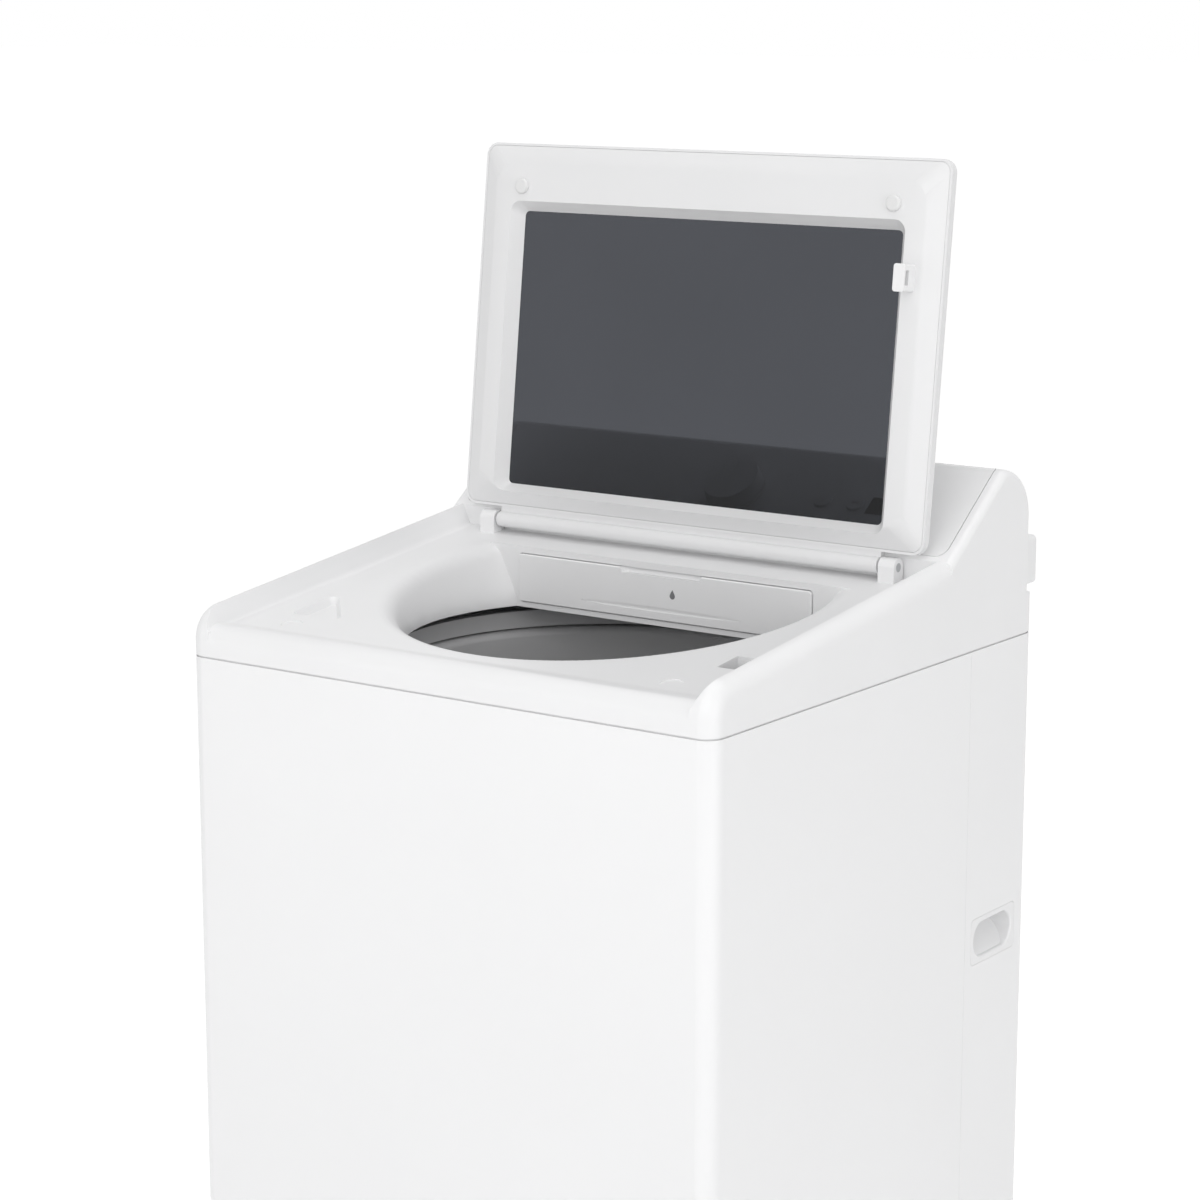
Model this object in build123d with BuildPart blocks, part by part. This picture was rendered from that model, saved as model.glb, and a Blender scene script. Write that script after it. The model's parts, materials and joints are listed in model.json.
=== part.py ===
"""Top load washing machine with a glass lid, a detergent drawer and a suspended wash tub.

Units are millimetres. X is the width, the front faces -Y and Z is up. The origin is on the
floor, in the middle of the machine's overall width and depth. The lid is modelled open,
leaning back on its stop, which is where it stays by itself.
"""
import os
from math import cos, radians, sin, tan

from build123d import *

os.makedirs("parts", exist_ok=True)

# Overall sizes
cabinet_width = 686.0
cabinet_depth = 658.0
overall_depth = 700.0
seam_height = 943.0
floor_gap = 24.0
corner_radius = 20.0
sheet = 1.2
seam_gap = 2.0
side_line_setback = 511.0

# Fits
slide_gap = 1.0
run_gap = 0.05
rest_gap = 0.4
seat_gap = 0.3

# Margin for picking out edges by their place
pick = 1.0

# Lid and its hinge, measured from the front face and from the seam
hinge_setback = 452.0
hinge_rise = 95.0
lid_slope = 6.8
lid_open_angle = 96.5
lid_length = 441.0
rail_width = 30.0
lid_width = cabinet_width - 2 * rail_width
lid_corner = 15.0
lid_axis_depth = 9.0
lid_edge_depth = 10.0
lid_depth = 20.0
lid_wall = 3.0
lid_bevel = 26.0
lid_frame_side = 47.0
lid_window_width = lid_width - 2 * lid_frame_side
lid_window_corner = 14.0
lid_window_front = 374.0
bezel_inset = 11.0
lid_rear_border = 32.0
lid_rear_gap = 15.0
glass_thickness = 4.0
glass_overlap = 9.0
barrel_inset = 53.0
barrel_length = lid_width - 2 * barrel_inset
pin_radius = 5.0
pin_length = 44.0
bracket_width = 20.0
bracket_gap = 3.0
bumper_radius = 9.0
bumper_height = 5.0
bumper_inset = 63.0
bumper_spacing = lid_width - 2 * bumper_inset
bumper_reach = 391.0
strike_inset = 38.0
strike_offset = lid_width / 2 - strike_inset
strike_reach = 312.0
strike_width = 14.0
strike_length = 30.0
strike_height = 22.0

# Top cover: rails, deck, funnel and the front nose
cover_wall = 3.0
side_gap = 1.5
rail_nose = 38.0
rail_flare = 12.0
deck_nose = 20.0
front_lip = 12.0
front_lip_run = 42.0
front_lip_round = 40.0
deck_fillet = 8.0
tub_setback = 310.0
funnel_radius = 228.0
funnel_lip = 11.0
funnel_lip_rise = 3.0
funnel_spread = 0.42
rear_ledge_rise = 40.0
mouth_radius = 26.0
bleach_depth = 8.0
bleach_taper = 30.0
bleach_wall = 2.0
bleach_inset = 35.0
bleach_outer_x = lid_width / 2 - bleach_inset
bleach_front = 96.0
bleach_length = 82.0
bleach_width = 72.0
bleach_corner = 8.0
strike_slot_gap = 4.0
pad_recess = 1.0

# Console
console_front_gap = 12.0
console_slope = 36.7
console_rise = 192.0
console_back = 642.0
console_joint_front = 92.0
console_joint_rear = 46.0
console_wall = 4.0
console_side_radius = 9.0
console_top_radius = 18.0
console_back_radius = 58.0
console_back_drop = 14.0
panel_thickness = 4.0
panel_ledge = 4.0
panel_reach = 9.0
panel_side_margin = 15.0
panel_front_margin = 8.0
panel_top_margin = 13.0
panel_groove = 1.0
panel_corner = 12.0
dial_offset = 28.0
dial_radius = 35.0
dial_height = 22.0
dial_stem = 5.0
button_radius = 11.0
power_inset = 198.0
power_offset = cabinet_width / 2 - power_inset
start_inset = 156.0
start_offset = cabinet_width / 2 - start_inset
button_proud = 2.5
button_depth = 10.0
display_width = 64.0
display_height = 26.0
display_inset = 107.0
display_offset = cabinet_width / 2 - display_inset

# Detergent drawer
drawer_setback = 410.0
drawer_inset = 113.0
drawer_width = lid_width - 2 * drawer_inset
drawer_floor = 10.0
drawer_rise = 56.0
drawer_front_depth = 14.0
drawer_proud = 3.0
drawer_corner = 4.0
tray_length = 160.0
tray_wall = 2.5
tray_inset = 9.0
tray_height = 46.0

# Suspended tub, wash basket and drive
tub_radius = 272.0
tub_wall = 4.0
tub_floor_height = 186.0
tub_cover_drop = 20.0
tub_cover_height = 12.0
tub_cover_bore = 246.0
basket_radius = 257.0
basket_sheet = 1.0
basket_base = 3.0
basket_floor_gap = 26.0
basket_bead = 5.0
balance_bore = 236.0
balance_height = 46.0
balance_drop = 30.0
pulsator_radius = 196.0
pulsator_rise = 34.0
pulsator_lobe_count = 6
spin_tube_radius = 19.0
shaft_radius = 11.0
rotor_radius = 136.0
rotor_height = 44.0
stator_tooth_count = 24
rod_radius = 5.0
rod_ring_radius = 342.0
rod_cap_radius = 17.0
lug_height = 330.0
lug_thickness = 16.0
spring_length = 60.0
spring_radius = 15.0
spring_wire = 4.0

# Base, feet, handles and water fittings
base_height = 34.0
base_width = 62.0
foot_radius = 21.0
foot_pad = 12.0
foot_stud_radius = 5.0
foot_inset = 48.0
nut_size = 8.0
nut_height = 6.0
handle_setback = 575.0
handle_drop = 338.0
handle_length = 86.0
handle_height = 40.0
handle_depth = 32.0
handle_wall = 2.0
inlet_radius = 13.2
inlet_bore = 9.0
inlet_spacing = 64.0
inlet_inset = 71.0
inlet_offset = cabinet_width / 2 - inlet_inset
inlet_block_width = 112.0
inlet_block_height = 56.0
inlet_rise = 62.0
drain_radius = 15.0
drain_bore = 12.0
drain_height = 120.0
drain_inset = 113.0
drain_offset = drain_inset - cabinet_width / 2
drain_length = 28.0
rear_sheet = 1.0
screw_radius = 4.5
screw_height = 2.5

# Reference places worked out from the sizes above
front = -overall_depth / 2
back = front + cabinet_depth
half_width = cabinet_width / 2
tub_y = front + tub_setback
hinge_y = front + hinge_setback
hinge_z = seam_height + hinge_rise
console_y = hinge_y + console_front_gap
drawer_y = front + drawer_setback
well_half = lid_width / 2 + side_gap
well_depth = lid_depth + bumper_height + rest_gap - pad_recess
tub_axis = Axis((0, tub_y, 0), (0, 0, 1))
tub_plane = Plane(origin=(0, tub_y, 0), x_dir=(1, 0, 0), z_dir=(0, -1, 0))


def rail_z(y):
    """Height of the plane that the closed lid and the rails share."""
    return hinge_z + lid_axis_depth / cos(radians(lid_slope)) - (hinge_y - y) * tan(radians(lid_slope))


def deck_z(y, below=0.0):
    """Height of the deck under the lid, or of a face that far below it."""
    return rail_z(y) - (well_depth + below) / cos(radians(lid_slope))


# Lid frame of reference: local X is the width, local Y runs from the hinge to the lid's front
# edge and local Z points out of the underside
lid_normal = (0, -sin(radians(lid_open_angle)), -cos(radians(lid_open_angle)))
lid_plane = Plane(origin=(0, hinge_y, hinge_z), x_dir=(1, 0, 0), z_dir=lid_normal)
lid_top = -lid_axis_depth


def lid_level(depth):
    """Plane parallel to the lid at that depth under its upper face."""
    return lid_plane.offset(lid_top + depth)


# Console frame of reference: local X is the width, local Y climbs the slope, local Z points out
console_foot_z = seam_height + console_joint_front + console_front_gap
console_top_z = seam_height + console_rise
console_apex_y = console_y + (console_top_z - console_foot_z) / tan(radians(console_slope))
slope_length = (console_top_z - console_foot_z) / sin(radians(console_slope))
panel_length = slope_length - panel_front_margin - panel_top_margin
panel_width = cabinet_width - 2 * panel_side_margin
panel_mid = panel_front_margin + panel_length / 2
panel_normal = (0, -sin(radians(console_slope)), cos(radians(console_slope)))
panel_plane = Plane(
    origin=(
        0,
        console_y + panel_mid * cos(radians(console_slope)),
        console_foot_z + panel_mid * sin(radians(console_slope)),
    ),
    x_dir=(1, 0, 0),
    z_dir=panel_normal,
)

# Cabinet: one wrapped sheet for the front and most of the sides, up to a joint line
cabinet_height = seam_height - seam_gap - floor_gap
gusset_margin = 30.0
gusset_thickness = 4.0
gusset_drop = 30.0
rear_flange = 26.0
rod_reach = rod_ring_radius * cos(radians(45))
rod_places = {
    "front_left": (-rod_reach, tub_y - rod_reach),
    "front_right": (rod_reach, tub_y - rod_reach),
    "rear_left": (-rod_reach, tub_y + rod_reach),
    "rear_right": (rod_reach, tub_y + rod_reach),
}
rod_seat_z = seam_height - gusset_drop
handle_y = front + handle_setback
handle_z = seam_height - handle_drop
cabinet_mid_y = (front + back) / 2
side_line_y = front + side_line_setback
rod_hole = rod_radius + seat_gap

with BuildPart() as cabinet:
    with BuildSketch(Plane.XY.offset(floor_gap)) as wrap_section:
        with Locations((0, cabinet_mid_y)):
            RectangleRounded(cabinet_width, cabinet_depth, corner_radius)
            RectangleRounded(
                cabinet_width - 2 * sheet,
                cabinet_depth - 2 * sheet,
                corner_radius - sheet,
                mode=Mode.SUBTRACT,
            )
    extrude(amount=cabinet_height)
    split(bisect_by=Plane(origin=(0, side_line_y, 0), z_dir=(0, 1, 0)), keep=Keep.BOTTOM)
cabinet.part.label = "cabinet"
export_step(cabinet.part, "parts/cabinet.step")

# Rear corner sheets: the sides behind the joint line, folded round to flanges for the rear panel
cutout_margin = 7.0
cutout_length = handle_length + 2 * cutout_margin
cutout_height = handle_height + 2 * cutout_margin
cutout_corner = 6.0
with BuildPart() as rear_corner_sheets:
    with BuildSketch(Plane.XY.offset(floor_gap)):
        add(wrap_section.sketch_local)
        with Locations((0, cabinet_mid_y)):
            Rectangle(cabinet_width - 2 * (corner_radius + rear_flange), cabinet_depth, mode=Mode.SUBTRACT)
    extrude(amount=cabinet_height)
    split(bisect_by=Plane(origin=(0, side_line_y + seat_gap, 0), z_dir=(0, 1, 0)), keep=Keep.TOP)
    with BuildSketch(Plane.YZ):
        with Locations((handle_y, handle_z)):
            RectangleRounded(cutout_length, cutout_height, cutout_corner)
    extrude(amount=cabinet_width, both=True, mode=Mode.SUBTRACT)
rear_corner_sheets.part.label = "rear_corner_sheets"
export_step(rear_corner_sheets.part, "parts/rear_corner_sheets.step")

# Corner gussets under the cabinet's rim, which carry the tub's rods
with BuildPart() as corner_gussets:
    for side_x in (-1, 1):
        for side_y, wall_y in ((-1, front + sheet), (1, back - sheet)):
            corner_x = side_x * (half_width - sheet)
            rod_y = tub_y + side_y * rod_reach
            gusset_size = half_width - rod_reach + abs(wall_y - rod_y) + gusset_margin
            with BuildSketch(Plane.XY.offset(rod_seat_z)):
                with BuildLine():
                    Polyline(
                        (corner_x, wall_y - side_y * corner_radius),
                        (corner_x, wall_y - side_y * gusset_size),
                        (corner_x - side_x * gusset_size, wall_y),
                        (corner_x - side_x * corner_radius, wall_y),
                        close=True,
                    )
                make_face()
            extrude(amount=gusset_thickness)
    with BuildSketch(Plane.XY.offset(rod_seat_z)):
        with Locations(*rod_places.values()):
            Circle(rod_hole)
    extrude(amount=gusset_thickness, mode=Mode.SUBTRACT)
corner_gussets.part.label = "corner_gussets"
export_step(corner_gussets.part, "parts/corner_gussets.step")

# Rear panel: a flat sheet with pressed beads, screwed to the flanges
bead_height = 14.0
bead_rise = 3.0
bead_margin = 90.0
bead_taper = 30.0
panel_lap = 10.0
rear_panel_width = cabinet_width - 2 * (corner_radius + panel_lap)
rear_panel_height = cabinet_height - 2 * panel_lap
rear_panel_z = floor_gap + cabinet_height / 2
rear_bead_rows = (0.32, 0.5, 0.68)
with BuildPart() as rear_panel:
    with BuildSketch(Plane.XZ.offset(-back)):
        with Locations((0, rear_panel_z)):
            RectangleRounded(rear_panel_width, rear_panel_height, panel_lap)
    extrude(amount=-rear_sheet)
    for row in rear_bead_rows:
        with BuildSketch(Plane.XZ.offset(-back)):
            with Locations((0, floor_gap + cabinet_height * row)):
                SlotOverall(rear_panel_width - bead_margin, bead_height)
        extrude(amount=-(rear_sheet + bead_rise), taper=bead_taper)
        with BuildSketch(Plane.XZ.offset(-back)):
            with Locations((0, floor_gap + cabinet_height * row)):
                SlotOverall(rear_panel_width - bead_margin - 2 * rear_sheet, bead_height - 2 * rear_sheet)
        extrude(amount=-bead_rise, taper=bead_taper, mode=Mode.SUBTRACT)
    with BuildSketch(Plane.XZ.offset(-back)):
        with Locations((drain_offset, drain_height)):
            Circle(drain_radius + seat_gap)
    extrude(amount=-2 * rear_sheet, mode=Mode.SUBTRACT)
rear_panel.part.label = "rear_panel"
export_step(rear_panel.part, "parts/rear_panel.step")

screw_rows = 4
screw_columns = 2
screw_span = (rear_panel_height - 2 * rear_flange) / (screw_rows - 1)
with BuildPart() as rear_panel_screws:
    with BuildSketch(Plane.XZ.offset(-(back + rear_sheet))):
        with Locations((0, rear_panel_z)):
            with GridLocations(rear_panel_width - rear_flange, screw_span, screw_columns, screw_rows):
                Circle(screw_radius)
    extrude(amount=-screw_height)
rear_panel_screws.part.label = "rear_panel_screws"
export_step(rear_panel_screws.part, "parts/rear_panel_screws.step")

# Base: a ring that stiffens the sheet's lower edge, with corner blocks for the levelling feet
base_outer_x = cabinet_width - 2 * sheet
base_outer_y = cabinet_depth - 2 * sheet
base_rib = 3.0
foot_block = 100.0
channel_width = base_width - 2 * base_rib
channel_x = base_outer_x - 2 * foot_block
channel_y = base_outer_y - 2 * foot_block
foot_places = {
    "front_left": (-half_width + foot_inset, front + foot_inset),
    "front_right": (half_width - foot_inset, front + foot_inset),
    "rear_left": (-half_width + foot_inset, back - foot_inset),
    "rear_right": (half_width - foot_inset, back - foot_inset),
}
with BuildPart() as base_frame:
    with BuildSketch(Plane.XY.offset(floor_gap)):
        with Locations((0, cabinet_mid_y)):
            RectangleRounded(base_outer_x, base_outer_y, corner_radius - sheet)
            RectangleRounded(
                base_outer_x - 2 * base_width,
                base_outer_y - 2 * base_width,
                corner_radius,
                mode=Mode.SUBTRACT,
            )
    extrude(amount=base_height)
    with BuildSketch(Plane.XY.offset(floor_gap)):
        with Locations(*foot_places.values()):
            Circle(foot_stud_radius + run_gap)
    extrude(amount=base_height, mode=Mode.SUBTRACT)
    with BuildSketch(Plane.XY.offset(floor_gap)):
        with Locations((0, cabinet_mid_y)):
            with GridLocations(0, base_outer_y - base_width, 1, 2):
                Rectangle(channel_x, channel_width)
            with GridLocations(base_outer_x - base_width, 0, 2, 1):
                Rectangle(channel_width, channel_y)
    extrude(amount=base_height - base_rib, mode=Mode.SUBTRACT)
base_frame.part.label = "base_frame"
export_step(base_frame.part, "parts/base_frame.step")

# Levelling feet: a ribbed rubber-soled pad on a threaded stud, and a lock nut under the base
foot_stud_top = floor_gap + base_height - slide_gap
for corner, place in foot_places.items():
    with BuildPart() as foot:
        with BuildSketch(Plane.XY):
            with Locations(place):
                Circle(foot_radius)
        extrude(amount=foot_pad, taper=8)
        with BuildSketch(Plane.XY.offset(foot_pad)):
            with Locations(place):
                Circle(foot_stud_radius)
        extrude(amount=foot_stud_top - foot_pad)
    foot.part.label = f"foot_{corner}"
    export_step(foot.part, f"parts/foot_{corner}.step")

with BuildPart() as foot_lock_nuts:
    with BuildSketch(Plane.XY.offset(floor_gap - nut_height)):
        with Locations(*foot_places.values()):
            RegularPolygon(nut_size, 6)
            Circle(foot_stud_radius + run_gap, mode=Mode.SUBTRACT)
    extrude(amount=nut_height)
foot_lock_nuts.part.label = "foot_lock_nuts"
export_step(foot_lock_nuts.part, "parts/foot_lock_nuts.step")

# Carrying handles: scoops in the side walls, shallow at the lower edge and deep under the upper one,
# each with a bezel that fills the sheet's cut-out and a flange that holds it from inside
handle_flange = 8.0
bezel_round = 2.5
for side, hand in (("left", -1), ("right", 1)):
    wall_x = hand * (half_width - sheet)
    mouth = Plane(origin=(hand * half_width, handle_y, handle_z), x_dir=(0, 1, 0), z_dir=(-hand, 0, 0))
    floor_half = handle_height / 2
    scoop_floor = Plane(
        origin=(wall_x - hand * handle_wall, handle_y, handle_z - floor_half - handle_wall),
        x_dir=(0, 1, 0),
        z_dir=(hand * (1.5 * floor_half + handle_wall), 0, handle_depth - handle_wall),
    )
    with BuildPart() as scoop_air:
        with BuildSketch(mouth):
            SlotOverall(handle_length, handle_height)
        extrude(amount=sheet + handle_depth - handle_wall)
        split(bisect_by=scoop_floor, keep=Keep.TOP)
    with BuildPart() as handle:
        with BuildSketch(mouth):
            RectangleRounded(cutout_length - 2 * seat_gap, cutout_height - 2 * seat_gap, cutout_corner)
        extrude(amount=sheet)
        with BuildSketch(mouth.offset(sheet)):
            RectangleRounded(cutout_length + handle_flange, cutout_height + handle_flange, cutout_corner)
        extrude(amount=handle_wall)
        with BuildSketch(mouth.offset(sheet)):
            SlotOverall(handle_length + 2 * handle_wall, handle_height + 2 * handle_wall)
        extrude(amount=handle_depth)
        add(scoop_air.part, mode=Mode.SUBTRACT)
        fillet(
            handle.edges().filter_by(
                lambda e: abs(abs(e.center().X) - half_width) < 0.01
                and abs(e.center().Y - handle_y) < handle_length / 2 + pick
                and abs(e.center().Z - handle_z) < floor_half + pick
            ),
            bezel_round,
        )
    handle.part.label = f"carry_handle_{side}"
    export_step(handle.part, f"parts/carry_handle_{side}.step")

# Top cover: a moulded tray with two rails, a sloping deck and a funnel that leads into the tub
well_top = seam_height + 2 * console_rise
cover_back_z = seam_height + rear_ledge_rise
console_back_y = front + console_back
joint_front_z = seam_height + console_joint_front
joint_rear_z = seam_height + console_joint_rear
funnel_z = seam_height + funnel_lip_rise
funnel_top_z = rail_z(console_y)
funnel_growth = funnel_spread * (funnel_top_z - funnel_z - funnel_lip)
drawer_mid_z = seam_height + drawer_floor + drawer_rise / 2
cover_lip = 8.0
cover_lip_wall = 2.0
cover_lip_x = cabinet_width - 2 * (sheet + slide_gap)
cover_lip_y = cabinet_depth - 2 * (sheet + slide_gap)
cover_lip_corner = corner_radius - sheet - slide_gap
deck_plane = Plane(
    origin=(0, tub_y, deck_z(tub_y)),
    x_dir=(1, 0, 0),
    z_dir=(0, -sin(radians(lid_slope)), cos(radians(lid_slope))),
)


def closed_y(reach, depth):
    """Place in Y, with the lid closed, of a point at that reach from the hinge and depth in the lid."""
    return hinge_y - reach * cos(radians(lid_slope)) + (depth - lid_axis_depth) * sin(radians(lid_slope))


def closed_z(reach, depth):
    """Height, with the lid closed, of a point at that reach from the hinge and depth in the lid."""
    return hinge_z - reach * sin(radians(lid_slope)) - (depth - lid_axis_depth) * cos(radians(lid_slope))


def on_deck(x, y):
    """Place on the sloping deck plane of a point given in plan."""
    return (x, (y - tub_y) / cos(radians(lid_slope)))


strike_y = closed_y(strike_reach, lid_depth + strike_height / 2)
pad_y = closed_y(bumper_reach, lid_depth + bumper_height)
bleach_corners = (
    on_deck(-bleach_outer_x, front + bleach_front),
    on_deck(-bleach_outer_x, front + bleach_front + bleach_length),
    on_deck(-bleach_outer_x + bleach_width, front + bleach_front),
)

with BuildPart() as funnel_air:
    with BuildSketch(tub_plane):
        with BuildLine():
            Polyline(
                (0, funnel_z - slide_gap),
                (funnel_radius, funnel_z - slide_gap),
                (funnel_radius, funnel_z + funnel_lip),
                (funnel_radius + funnel_growth, funnel_top_z),
                (0, funnel_top_z),
                close=True,
            )
        make_face()
    revolve(axis=tub_axis)
    split(bisect_by=Plane(origin=(0, drawer_y, 0), z_dir=(0, 1, 0)), keep=Keep.BOTTOM)

with BuildPart() as funnel_wall:
    with BuildSketch(tub_plane):
        with BuildLine():
            Polyline(
                (0, funnel_z),
                (funnel_radius + cover_wall, funnel_z),
                (funnel_radius + cover_wall, funnel_z + funnel_lip),
                (funnel_radius + cover_wall + funnel_growth, funnel_top_z),
                (0, funnel_top_z),
                close=True,
            )
        make_face()
    revolve(axis=tub_axis)
    split(bisect_by=Plane(origin=(0, drawer_y + cover_wall, 0), z_dir=(0, 1, 0)), keep=Keep.BOTTOM)

# The space for the closed lid: a sloping trough with flared sides and a lip along the front
lip_y = front + front_lip_run
trough_plane = Plane(origin=deck_plane.origin, x_dir=(1, 0, 0), z_dir=-deck_plane.y_dir)
with BuildPart() as lid_well:
    with BuildSketch(trough_plane) as trough:
        with BuildLine():
            Polyline(
                (-well_half, 0),
                (well_half, 0),
                (well_half + rail_flare, well_depth),
                (well_half + rail_flare, well_top),
                (-well_half - rail_flare, well_top),
                (-well_half - rail_flare, well_depth),
                close=True,
            )
        make_face()
        fillet(trough.vertices().group_by(Axis.Y)[0], deck_fillet)
    extrude(amount=overall_depth, both=True)
    with BuildSketch(Plane.XY.offset(seam_height)):
        with Locations((0, front)):
            Rectangle(2 * well_half, 2 * deck_nose)
    extrude(amount=deck_z(front) - seam_height + deck_fillet)
    with BuildSketch(Plane.YZ) as well_section:
        with BuildLine():
            Polyline(
                (front - rail_nose, seam_height),
                (front, seam_height),
                (front, deck_z(front) + front_lip),
                (lip_y, deck_z(lip_y)),
                (console_y, deck_z(console_y)),
                (console_y, well_top),
                (front - rail_nose, well_top),
                close=True,
            )
        make_face()
        fillet(well_section.vertices().sort_by_distance((front, deck_z(front) + front_lip))[0], deck_nose)
        fillet(well_section.vertices().sort_by_distance((lip_y, deck_z(lip_y)))[0], front_lip_round)
    extrude(amount=cabinet_width, both=True, mode=Mode.INTERSECT)

with BuildPart() as cover_cavity:
    with BuildSketch(Plane.XY.offset(seam_height - slide_gap)):
        with Locations((0, cabinet_mid_y)):
            RectangleRounded(
                cabinet_width - 2 * cover_wall, cabinet_depth - 2 * cover_wall, corner_radius - cover_wall
            )
    extrude(amount=console_rise)
    with BuildSketch(Plane.YZ) as deck_section:
        with BuildLine():
            Polyline(
                (front - rail_nose, seam_height),
                (front + cover_wall, seam_height),
                (front + cover_wall, deck_z(front + cover_wall, cover_wall) + front_lip),
                (lip_y, deck_z(lip_y, cover_wall)),
                (console_y + cover_wall, deck_z(console_y + cover_wall, cover_wall)),
                (console_y + cover_wall, well_top),
                (front - rail_nose, well_top),
                close=True,
            )
        make_face()
        nose_corner = (front + cover_wall, deck_z(front + cover_wall, cover_wall) + front_lip)
        fillet(deck_section.vertices().sort_by_distance(nose_corner)[0], deck_nose - cover_wall)
    extrude(amount=cabinet_width, both=True, mode=Mode.SUBTRACT)
    with BuildSketch(Plane.YZ):
        with BuildLine():
            Polyline(
                (console_back_y - console_wall, joint_rear_z - cover_wall),
                (console_back_y, joint_rear_z - cover_wall),
                (back, cover_back_z - cover_wall),
                (back, well_top),
                (console_back_y - console_wall, well_top),
                close=True,
            )
        make_face()
    extrude(amount=cabinet_width, both=True, mode=Mode.SUBTRACT)

with BuildPart() as top_cover:
    with BuildSketch(Plane.YZ) as rail_section:
        with BuildLine():
            Polyline(
                (front, seam_height),
                (front, rail_z(front)),
                (console_y, rail_z(console_y)),
                (console_y, joint_front_z),
                (console_back_y, joint_rear_z),
                (back, cover_back_z),
                (back, seam_height),
                close=True,
            )
        make_face()
        fillet(rail_section.vertices().sort_by_distance((front, rail_z(front)))[0], rail_nose)
    extrude(amount=half_width, both=True)
    rail_edges = top_cover.edges().filter_by(lambda e: abs(abs(e.center().X) - half_width) < 0.01)
    fillet(
        rail_edges.filter_by(lambda e: e.center().Y < console_y - pick and e.center().Z > seam_height + pick),
        corner_radius,
    )
    upright_edges = top_cover.edges().filter_by(Axis.Z)
    fillet(upright_edges.filter_by(lambda e: abs(e.center().Y - back) < 0.01), corner_radius)
    add(cover_cavity.part, mode=Mode.SUBTRACT)
    with BuildSketch(Plane.XY.offset(seam_height - cover_lip)):
        with Locations((0, cabinet_mid_y)):
            RectangleRounded(cover_lip_x, cover_lip_y, cover_lip_corner)
            offset(amount=-cover_lip_wall, mode=Mode.SUBTRACT)
    extrude(amount=cover_lip + cover_wall)
    add(funnel_wall.part)
    add(lid_well.part, mode=Mode.SUBTRACT)
    add(funnel_air.part, mode=Mode.SUBTRACT)
    for below, mouth_round in ((cover_wall, mouth_radius - cover_wall), (0, mouth_radius)):
        fillet(
            top_cover.edges().filter_by(
                lambda e: abs(e.center().Z - deck_z(e.center().Y, below)) < 0.01
                and front + 2 * deck_nose < e.center().Y < drawer_y - pick
                and abs(e.center().X) < pick
            ),
            mouth_round,
        )
    with BuildSketch(deck_plane) as bleach_cup:
        with BuildLine():
            Polyline(*bleach_corners, close=True)
        make_face()
        fillet(bleach_cup.vertices(), bleach_corner)
        offset(amount=bleach_wall, mode=Mode.REPLACE)
    extrude(amount=-(bleach_depth + bleach_wall))
    with BuildSketch(deck_plane) as bleach_pocket:
        with BuildLine():
            Polyline(*bleach_corners, close=True)
        make_face()
        fillet(bleach_pocket.vertices(), bleach_corner)
    extrude(amount=-bleach_depth, taper=bleach_taper, mode=Mode.SUBTRACT)
    with BuildSketch(deck_plane):
        with Locations(on_deck(-bumper_spacing / 2, pad_y), on_deck(bumper_spacing / 2, pad_y)):
            Circle(bumper_radius + 2 * side_gap)
    extrude(amount=-pad_recess, mode=Mode.SUBTRACT)
    with BuildSketch(deck_plane):
        with Locations(on_deck(strike_offset, strike_y)):
            Rectangle(strike_width + 2 * strike_slot_gap, strike_length + 2 * strike_slot_gap)
    extrude(amount=-2 * cover_wall, mode=Mode.SUBTRACT)
    with BuildSketch(Plane.XZ.offset(cover_wall - drawer_y)):
        with Locations((0, drawer_mid_z)):
            RectangleRounded(
                drawer_width + 2 * slide_gap, drawer_rise + 2 * slide_gap, drawer_corner + slide_gap
            )
    extrude(amount=-(2 * cover_wall + mouth_radius), mode=Mode.SUBTRACT)
top_cover.part.label = "top_cover"
export_step(top_cover.part, "parts/top_cover.step")

# Hinge brackets on the deck's rear corners, each with the bore that a lid pin turns in
barrel_radius = lid_axis_depth
bracket_x = barrel_length / 2 + bracket_gap
for side, hand in (("left", -1), ("right", 1)):
    with BuildPart() as bracket:
        with BuildSketch(Plane.YZ.offset(hand * bracket_x)):
            with BuildLine():
                Polyline(
                    (hinge_y - bracket_width / 2, hinge_z),
                    (hinge_y - bracket_width / 2, deck_z(hinge_y - bracket_width / 2)),
                    (hinge_y + bracket_width / 2, deck_z(hinge_y + bracket_width / 2)),
                    (hinge_y + bracket_width / 2, hinge_z),
                    close=True,
                )
            make_face()
            with Locations((hinge_y, hinge_z)):
                Circle(bracket_width / 2)
                Circle(pin_radius + run_gap, mode=Mode.SUBTRACT)
        extrude(amount=hand * bracket_width)
    bracket.part.label = f"hinge_bracket_{side}"
    export_step(bracket.part, f"parts/hinge_bracket_{side}.step")

# Console: a hollow ridge behind the lid, its back a wide quarter round, with a sunk seat for the panel
slope_wall = panel_thickness + panel_ledge
panel_rim = 9.0
slope_drop = slope_wall / cos(radians(console_slope))
cavity_foot_z = console_foot_z + console_wall * tan(radians(console_slope)) - slope_drop
cavity_apex_z = console_top_z - slope_drop
cavity_back_y = console_back_y - console_wall
cavity_back_z = console_top_z - console_back_drop - slope_wall
with BuildSketch(Plane.YZ) as console_shape:
    with BuildLine():
        Polyline(
            (console_y, joint_front_z),
            (console_y, console_foot_z),
            (console_apex_y, console_top_z),
            (console_back_y, console_top_z - console_back_drop),
            (console_back_y, joint_rear_z),
            close=True,
        )
    make_face()
    fillet(console_shape.vertices().sort_by(Axis.Y)[-2], console_back_radius)
    fillet(console_shape.vertices().sort_by(Axis.Y)[-1], console_top_radius)

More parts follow.
